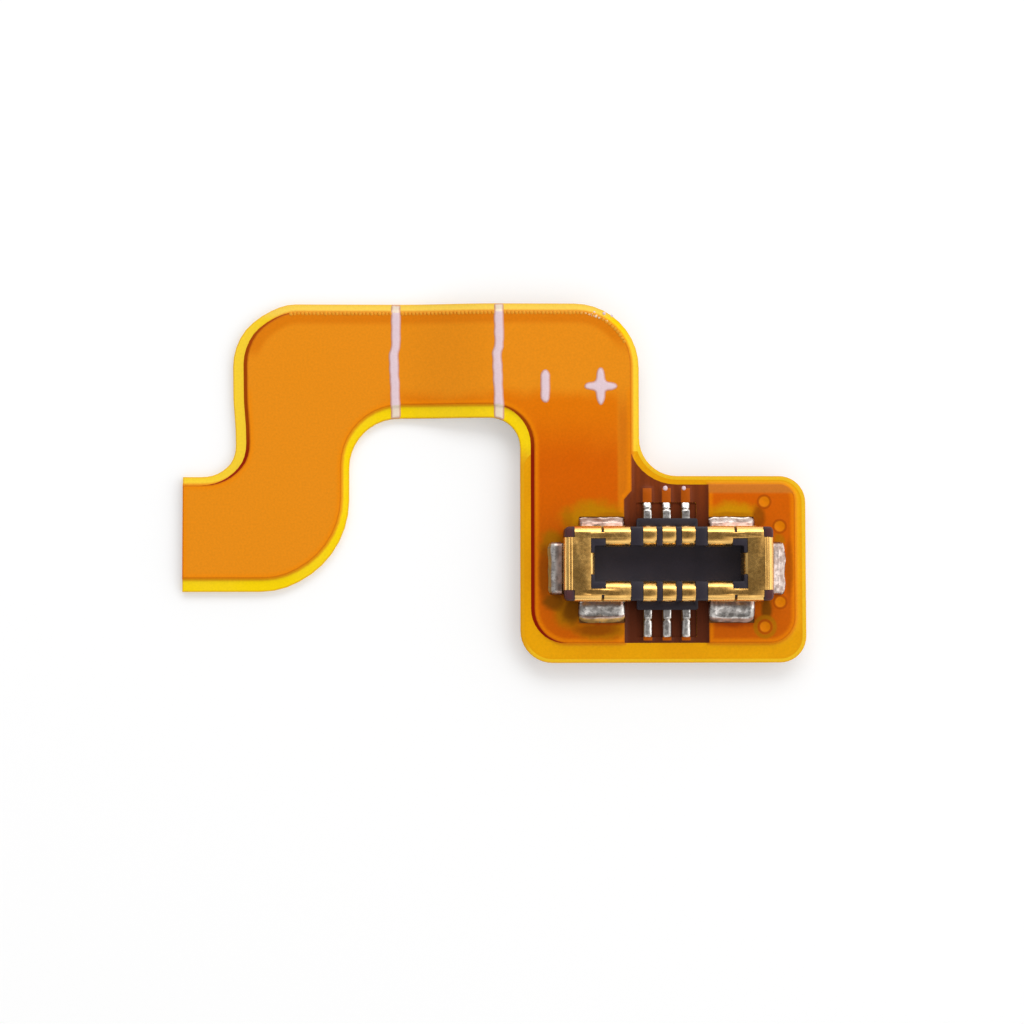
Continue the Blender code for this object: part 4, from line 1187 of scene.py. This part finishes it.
def softened(node, material, width):
    source = nodes[node].data.copy()
    bm = bmesh.new()
    bm.from_mesh(source)
    bmesh.ops.remove_doubles(bm, verts=bm.verts, dist=0.0002 * mm)
    bmesh.ops.dissolve_limit(bm, angle_limit=math.radians(1.0), verts=bm.verts, edges=bm.edges)
    bm.to_mesh(source)
    bm.free()
    piece = placed(node + "_soft", source)
    bevel = piece.modifiers.new("edge", "BEVEL")
    bevel.width = width
    bevel.segments = 2
    bevel.limit_method = "ANGLE"
    bevel.angle_limit = math.radians(35)
    bevel.miter_outer = "MITER_ARC"
    mesh = evaluated(piece).data
    mesh.materials.clear()
    mesh.materials.append(material)
    # how slanted each face is: the gold paints its bends lighter as a painted highlight, and keeps its
    # fine bumps off them
    slant = np.array([1 - abs(polygon.normal.z) for polygon in mesh.polygons])
    layer = mesh.attributes.new("bend", "FLOAT", "FACE")
    layer.data.foreach_set("value", smoothShare(slant / 0.25).astype(np.float32))
    smoothed(mesh, 40)
    return piece


def plugPieces():
    names = [name for name in sorted(nodes) if "contact" in name]
    for name in names + ["plug_housing"]:
        isPlastic = name == "plug_housing"
        material = materials["housing" if isPlastic else "gold"]
        piece = softened(name, material, softening["plastic" if isPlastic else "metal"])
        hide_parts(name)
        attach(piece, "root")
    print("plug pieces:", len(names) + 1)


plugPieces()


# Solder joints

solder = {
    "across": 26,  # points across a power joint
    "along": 18,
    "lump": 0.015,  # height of the lumps, in millimetres
    "lumpSize": 0.150,
    # how far out from the plug's wall a joint has its painted shade
    "wallShadeReach": {"upper": 0.105, "lower": 0.085, "end": 0.020},
    "wider": 0.030,  # how far a joint spreads past its foot on each side
    "longer": 0.010,
    # height over the copper at the tip of the foot
    "crest": {"upper": 0.112, "lower": 0.110, "end": 0.115},
    "climb": {"upper": 0.035, "lower": 0.0, "end": 0.035},  # and how much higher it stands at the plug
    "rim": 0.040,  # height of its border, which lies on the film
    "roll": 0.075,  # width over which its borders round off
    "ridge": 0.012,  # height of the ridge along the border of a lower joint
    "ridgeIn": 0.105,
    "ridgeWide": 0.022,  # half of its width
    "endTop": 0.405,  # how far an end joint reaches upwards from the plug's middle
    "foot": {"upper": 0.08, "lower": 0.08, "end": 0.115},  # length of the foot in it
    "pastFoot": 0.010,  # how far past the foot's tip the crest reaches
    "wallIn": 0.03,  # how far out from the inner end of the frame's joint it starts
    "ragged": 0.022,  # how far its border wanders
    "taper": 0.06,  # how much narrower it is at its toe
    "roundEnd": 0.14,  # how much shorter at its corners
    # the painted shade that a joint has all over
    "leastShade": {"negativeUpperJoint": 0.80, "positiveUpperJoint": 0.45, "positiveEndJoint": 0.55},
    "shadeShare": 0.85,  # how much of that painted shade a joint takes at most
}


def jointShadeAndGilt(name, s, fromWall):
    # how much painted shade and how gilt a joint is at a share of its length
    shadeHere, gilt = max(fromWall, solder["leastShade"].get(name, 0.0)), 0.0
    if name == "negativeLowerJoint":
        shadeHere = max(shadeHere, float(smoothShare(1.3 - abs(s - 0.745) / 0.06)))
        gilt = float(smoothShare((s - 0.79) / 0.05))
    elif name == "positiveLowerJoint":
        shadeHere = max(shadeHere, float(smoothShare((s - 0.76) / 0.08)))
    elif name == "negativeEndJoint":
        shadeHere = max(shadeHere, 0.9 * float(smoothShare(1.4 - s * 2.2)))
        gilt = float(smoothShare((s - 0.74) / 0.08))
    return shadeHere, gilt


def powerJoint(name, node, place):
    # a lumpy fillet over the foot of a power contact, from the plug's wall down to the film
    low, high = (np.array(corner)[:2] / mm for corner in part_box(node))
    axis = 0 if place == "end" else 1
    low[1 - axis] -= solder["wider"]
    high[1 - axis] = solder["endTop"] if place == "end" else high[1 - axis] + solder["wider"]
    middle, half = (low + high) / 2, (high - low)[1 - axis] / 2
    sign = 1.0 if middle[axis] > 0 else -1.0
    wall = min(abs(low[axis]), abs(high[axis])) + solder["wallIn"]
    toe = max(abs(low[axis]), abs(high[axis])) + solder["longer"]
    crest, rim = solder["crest"][place], solder["rim"]
    footShare = (solder["foot"][place] + solder["pastFoot"]) / (toe - wall)
    rows, shadeAlong, toes = [], [], []
    for i in range(solder["along"] + 1):
        s = i / solder["along"]
        fromWall = float(smoothShare(1.5 - s * (toe - wall) / solder["wallShadeReach"][place]))
        shadeHere, gilt = jointShadeAndGilt(name, s, fromWall)
        shadeAlong += [solder["shadeShare"] * shadeHere] * (solder["across"] + 1)
        toes += [gilt] * (solder["across"] + 1)
        row = []
        for j in range(solder["across"] + 1):
            t = 2 * j / solder["across"] - 1
            seed = Vector((s * 1.3 + middle[0] * 5, t * 2.2, middle[1] * 5))
            ragged = noise.noise(seed) * solder["ragged"]
            across = t * half * (1 - solder["taper"] * s**4) + ragged * abs(t) * s
            reach = wall + (toe - wall) * s * (1 - solder["roundEnd"] * t**8) + ragged * s
            profile = np.interp(s, (0, footShare, 1), (crest + solder["climb"][place], crest, rim))
            spot = [0.0, 0.0]
            spot[axis], spot[1 - axis] = sign * reach, middle[1 - axis] + across
            border = min((1 - abs(t)) * half, (1 - s) * (toe - wall)) / solder["roll"]
            rolled = math.sqrt(max(1 - (1 - min(border, 1)) ** 2, 0))
            scaled = Vector((spot[0] / solder["lumpSize"], spot[1] / solder["lumpSize"], 4.2))
            lumps = noise.noise(scaled) + 0.5 * noise.noise(scaled * 2.1)
            height = rim + (profile - rim) * rolled + lumps * solder["lump"] * rolled
            if place == "lower":
                inward = border * solder["roll"] - solder["ridgeIn"]
                height += solder["ridge"] * math.exp(-((inward / solder["ridgeWide"]) ** 2)) * (1 + lumps)
            row.append((spot[0], spot[1], level["copper"] + height))
        rows.append(row)
    piece = closedPatch(name, rows, level["copper"], materials["solder"])
    keepValues(piece, "paintedWallShade", shadeAlong)
    keepValues(piece, "gilt", toes)
    return piece


def closedPatch(name, rows, base, material):
    # a grid of points as the upper side of a closed body that stands on a flat base
    upper = [point for row in rows for point in row]
    lower = [(x, y, base) for x, y, _ in upper]
    wide, count = len(rows[0]), len(upper)
    faces = []
    for i in range(len(rows) - 1):
        for j in range(wide - 1):
            a = i * wide + j
            faces.append((a, a + 1, a + wide + 1, a + wide))
            faces.append((a + count, a + wide + count, a + wide + 1 + count, a + 1 + count))
    border = list(range(wide)) + [i * wide + wide - 1 for i in range(1, len(rows))]
    border += [(len(rows) - 1) * wide + j for j in reversed(range(wide - 1))]
    border += [i * wide for i in reversed(range(1, len(rows) - 1))]
    for a, b in zip(border, border[1:] + border[:1]):
        faces.append((b, a, a + count, b + count))
    mesh = bpy.data.meshes.new(name)
    mesh.from_pydata((np.array(upper + lower) * mm).tolist(), [], faces)
    bm = bmesh.new()
    bm.from_mesh(mesh)
    bmesh.ops.recalc_face_normals(bm, faces=bm.faces)
    bm.to_mesh(mesh)
    bm.free()
    mesh.materials.append(material)
    smoothed(mesh, 60)
    return placed(name, mesh)


def powerJoints():
    for pole in ("negative", "positive"):
        for place in ("upper", "lower", "end"):
            node = pole + "_solder_" + place
            piece = powerJoint(pole + place.title() + "Joint", node, place)
            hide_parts(node)
            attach(piece, "root")


powerJoints()

signalSolder = {
    "ledge": 0.835,  # where the foot comes out of the ledge, from the plug's middle
    "footEnd": 0.99,
    "skin": 0.070,  # height over the foot's sole
    "halfFoot": 0.066,
    "halfPad": 0.079,
    "thinnest": 0.003,  # height over the copper along its border
    "lump": 0.008,
    "lumpSize": 0.085,
}


def signalJoint(side, toe):
    # one joint, at the middle of its row: a thin skin over the foot, a dip, and the fillet on the pad
    rows = []
    foot = level["foot"] + signalSolder["skin"]
    stops = [
        (signalSolder["ledge"], signalSolder["halfFoot"], foot),
        (signalSolder["footEnd"] - 0.012, signalSolder["halfFoot"], foot - 0.004),
        (signalSolder["footEnd"] + 0.008, signalSolder["halfFoot"] * 0.92, foot - 0.036),
        (signalSolder["footEnd"] + 0.040, signalSolder["halfPad"], foot - 0.026),
        (toe - 0.050, signalSolder["halfPad"], foot - 0.060),
        (toe - 0.012, signalSolder["halfPad"] * 0.86, foot - 0.080),
        (toe, signalSolder["halfPad"] * 0.62, level["copper"] + 0.006),
    ]
    along, halves, heights = (np.array(column) for column in zip(*stops))
    for reach in np.linspace(along[0], along[-1], 26):
        half, top = np.interp(reach, along, halves), np.interp(reach, along, heights)
        row = []
        for t in np.linspace(-1, 1, 11):
            flat = 0.92 if reach < signalSolder["footEnd"] else 0.35
            bulge = (top - level["copper"]) * (flat + (1 - flat) * math.sqrt(1 - t * t))
            row.append((t * half, side * reach, level["copper"] + max(bulge, signalSolder["thinnest"])))
        rows.append(row)
    return closedPatch("signalJoint", rows, level["copper"], materials["solder"])


def jointRowGroup():
    inputs = [("Joint", "object"), ("Lump", "value"), ("Lump Size", "value"), ("Material", "material")]
    tree, given, leave = newGeometryGroup("jointRow", inputs)
    joint = addNode(tree, "GeometryNodeObjectInfo", {"Object": given["Joint"]})
    places = {"Points": given["Geometry"], "Instance": joint.outputs["Geometry"]}
    row = addNode(tree, "GeometryNodeInstanceOnPoints", places)
    real = addNode(tree, "GeometryNodeRealizeInstances", {0: row.outputs[0]})
    scale = mathNode(tree, "DIVIDE", 1.0, given["Lump Size"])
    rough = addNode(tree, "ShaderNodeTexNoise", {"Scale": scale, "Detail": 2.0})
    swing = vectorMath(tree, "SUBTRACT", rough.outputs[1], (0.5, 0.5, 0.5))[0]
    shift = addNode(tree, "ShaderNodeVectorMath", {0: swing}, operation="SCALE")
    tree.links.new(given["Lump"], shift.inputs["Scale"])
    moves = {"Geometry": real.outputs[0], "Offset": shift.outputs[0]}
    moved = addNode(tree, "GeometryNodeSetPosition", moves)
    finish = {"Geometry": moved.outputs[0], "Material": given["Material"]}
    tree.links.new(addNode(tree, "GeometryNodeSetMaterial", finish).outputs[0], leave.inputs[0])
    return tree


def signalJoints():
    group = jointRowGroup()
    for side, numbers in ((1, (1, 2, 3)), (-1, (4, 5, 6))):
        names = [f"signal_solder_{number}" for number in numbers]
        boxes = [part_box(name) for name in names]
        toe = max(abs(boxes[0][0].y), abs(boxes[0][1].y)) / mm
        mesh = bpy.data.meshes.new("jointPlaces")
        mesh.from_pydata([((low.x + high.x) / 2, 0.0, 0.0) for low, high in boxes], [], [])
        joint = signalJoint(side, toe)
        values = {
            "Joint": joint,
            "Lump": signalSolder["lump"] * 2 * mm,
            "Lump Size": signalSolder["lumpSize"] * mm,
            "Material": materials["solder"],
        }
        piece = grownFrom("signalJointsUpper" if side > 0 else "signalJointsLower", mesh, group, values)
        bpy.data.objects.remove(joint)
        piece.data.shade_smooth()
        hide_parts(*names)
        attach(piece, "root")


signalJoints()
print("solder ready")


# Carried-over nodes

def dress(name, material):
    nodes[name].data.materials.clear()
    nodes[name].data.materials.append(material)


for name in sorted(nodes):
    if "pad" in name or "copper" in name or "via" in name:
        dress(name, materials["foil"])
    elif name == "stiffener":
        dress(name, materials["stiffener"])
    elif name == "stiffener_adhesive":
        dress(name, materials["glue"])


# Floor, lights and camera

studio = {
    "pixelsPerMm": 55.05,
    "aimX": -2.814 * mm,  # what lies at the middle of the photograph
    "aimY": 0.950 * mm,
    "distance": 40.0 * mm,
    # degrees: the photograph was taken from a little below and left of the middle
    "lean": (2.88, -1.98, -0.10),
    "overhead": 0.17,  # brightness of the surroundings straight above
    "around": (0.24, 1.44),  # and lower down, at the left and at the right
    "lamps": (  # direction and height from the middle, long and short side, all in millimetres; watts
        ("north", 8, 80, 68, 110, 50, 0.044),
        ("south", -10, -80, 60, 100, 40, 0.007),
        ("east", 80, 0, 55, 90, 36, 0.010),
        ("west", -80, 0, 55, 90, 36, 0.001),
    ),
    "floorTone": 0.70,
    "floorGlow": 0.33,
}


def makeFloor():
    place = (studio["aimX"], studio["aimY"], cadBox[0][2] - 0.00001 * mm)
    bpy.ops.mesh.primitive_plane_add(size=0.6, location=place)
    floor = bpy.context.object
    floor.name = "floor"
    material = bpy.data.materials.new("paleFloor")
    material.use_nodes = True
    tree = material.node_tree
    tree.nodes.clear()
    matte = addNode(tree, "ShaderNodeBsdfDiffuse", {"Color": (*[studio["floorTone"]] * 3, 1.0)})
    glow = addNode(tree, "ShaderNodeEmission", {"Color": (1.0, 1.0, 1.0, 1.0)})
    path = addNode(tree, "ShaderNodeLightPath")
    seen = mathNode(tree, "ADD", path.outputs["Is Camera Ray"], path.outputs["Is Glossy Ray"], clamp=True)
    seen = mathNode(tree, "ADD", seen, path.outputs["Is Transmission Ray"], clamp=True)
    tree.links.new(product(tree, seen, studio["floorGlow"]), glow.inputs["Strength"])
    both = addNode(tree, "ShaderNodeAddShader", {0: matte.outputs[0], 1: glow.outputs[0]})
    leave = addNode(tree, "ShaderNodeOutputMaterial")
    tree.links.new(both.outputs[0], leave.inputs["Surface"])
    floor.data.materials.append(material)


def areaLight(name, place, size, watts):
    lamp = bpy.data.lights.new(name, "AREA")
    lamp.shape = "RECTANGLE"
    lamp.size, lamp.size_y = size
    lamp.energy = watts
    light = placed(name, lamp)
    light.location = place
    aim = Vector((studio["aimX"], studio["aimY"], 0)) - light.location
    light.rotation_euler = aim.to_track_quat("-Z", "Y").to_euler()


def makeLights():
    world = bpy.data.worlds.new("studio")
    bpy.context.scene.world = world
    world.use_nodes = True
    tree = world.node_tree
    background = tree.nodes["Background"]
    background.inputs["Color"].default_value = (1.0, 1.0, 1.0, 1.0)
    generated = addNode(tree, "ShaderNodeTexCoord").outputs["Generated"]
    east, north, height = axesOf(tree, generated)[:3]
    corner = mathNode(tree, "ADD", product(tree, east, 0.92), product(tree, north, 0.40))
    sides = addNode(tree, "ShaderNodeMapRange", {0: corner, 1: -1.0, 2: 1.0})
    sides.inputs[3].default_value, sides.inputs[4].default_value = studio["around"]
    heights = {0: height, 1: 0.80, 2: 0.93, 3: sides.outputs[0], 4: studio["overhead"]}
    climb = addNode(tree, "ShaderNodeMapRange", heights, interpolation_type="SMOOTHSTEP")
    tree.links.new(climb.outputs[0], background.inputs["Strength"])
    for name, right, away, high, long, short, watts in studio["lamps"]:
        place = (studio["aimX"] + right * mm, studio["aimY"] + away * mm, high * mm)
        areaLight(name, place, (long * mm, short * mm), watts)


def makeCamera():
    scene = bpy.context.scene
    data = bpy.data.cameras.new("camera")
    data.sensor_width = 36.0
    data.lens = 36.0 * studio["distance"] / (1024 / studio["pixelsPerMm"] * mm)
    data.clip_start = 0.001
    data.clip_end = 2.0
    camera = placed("camera", data)
    camera.rotation_euler = [math.radians(angle) for angle in studio["lean"]]
    back = camera.rotation_euler.to_matrix() @ Vector((0, 0, studio["distance"]))
    camera.location = Vector((studio["aimX"], studio["aimY"], level["filmTop"] * mm)) + back
    scene.camera = camera
    scene.view_settings.view_transform = "Standard"


makeFloor()
makeLights()
makeCamera()
print("studio ready")
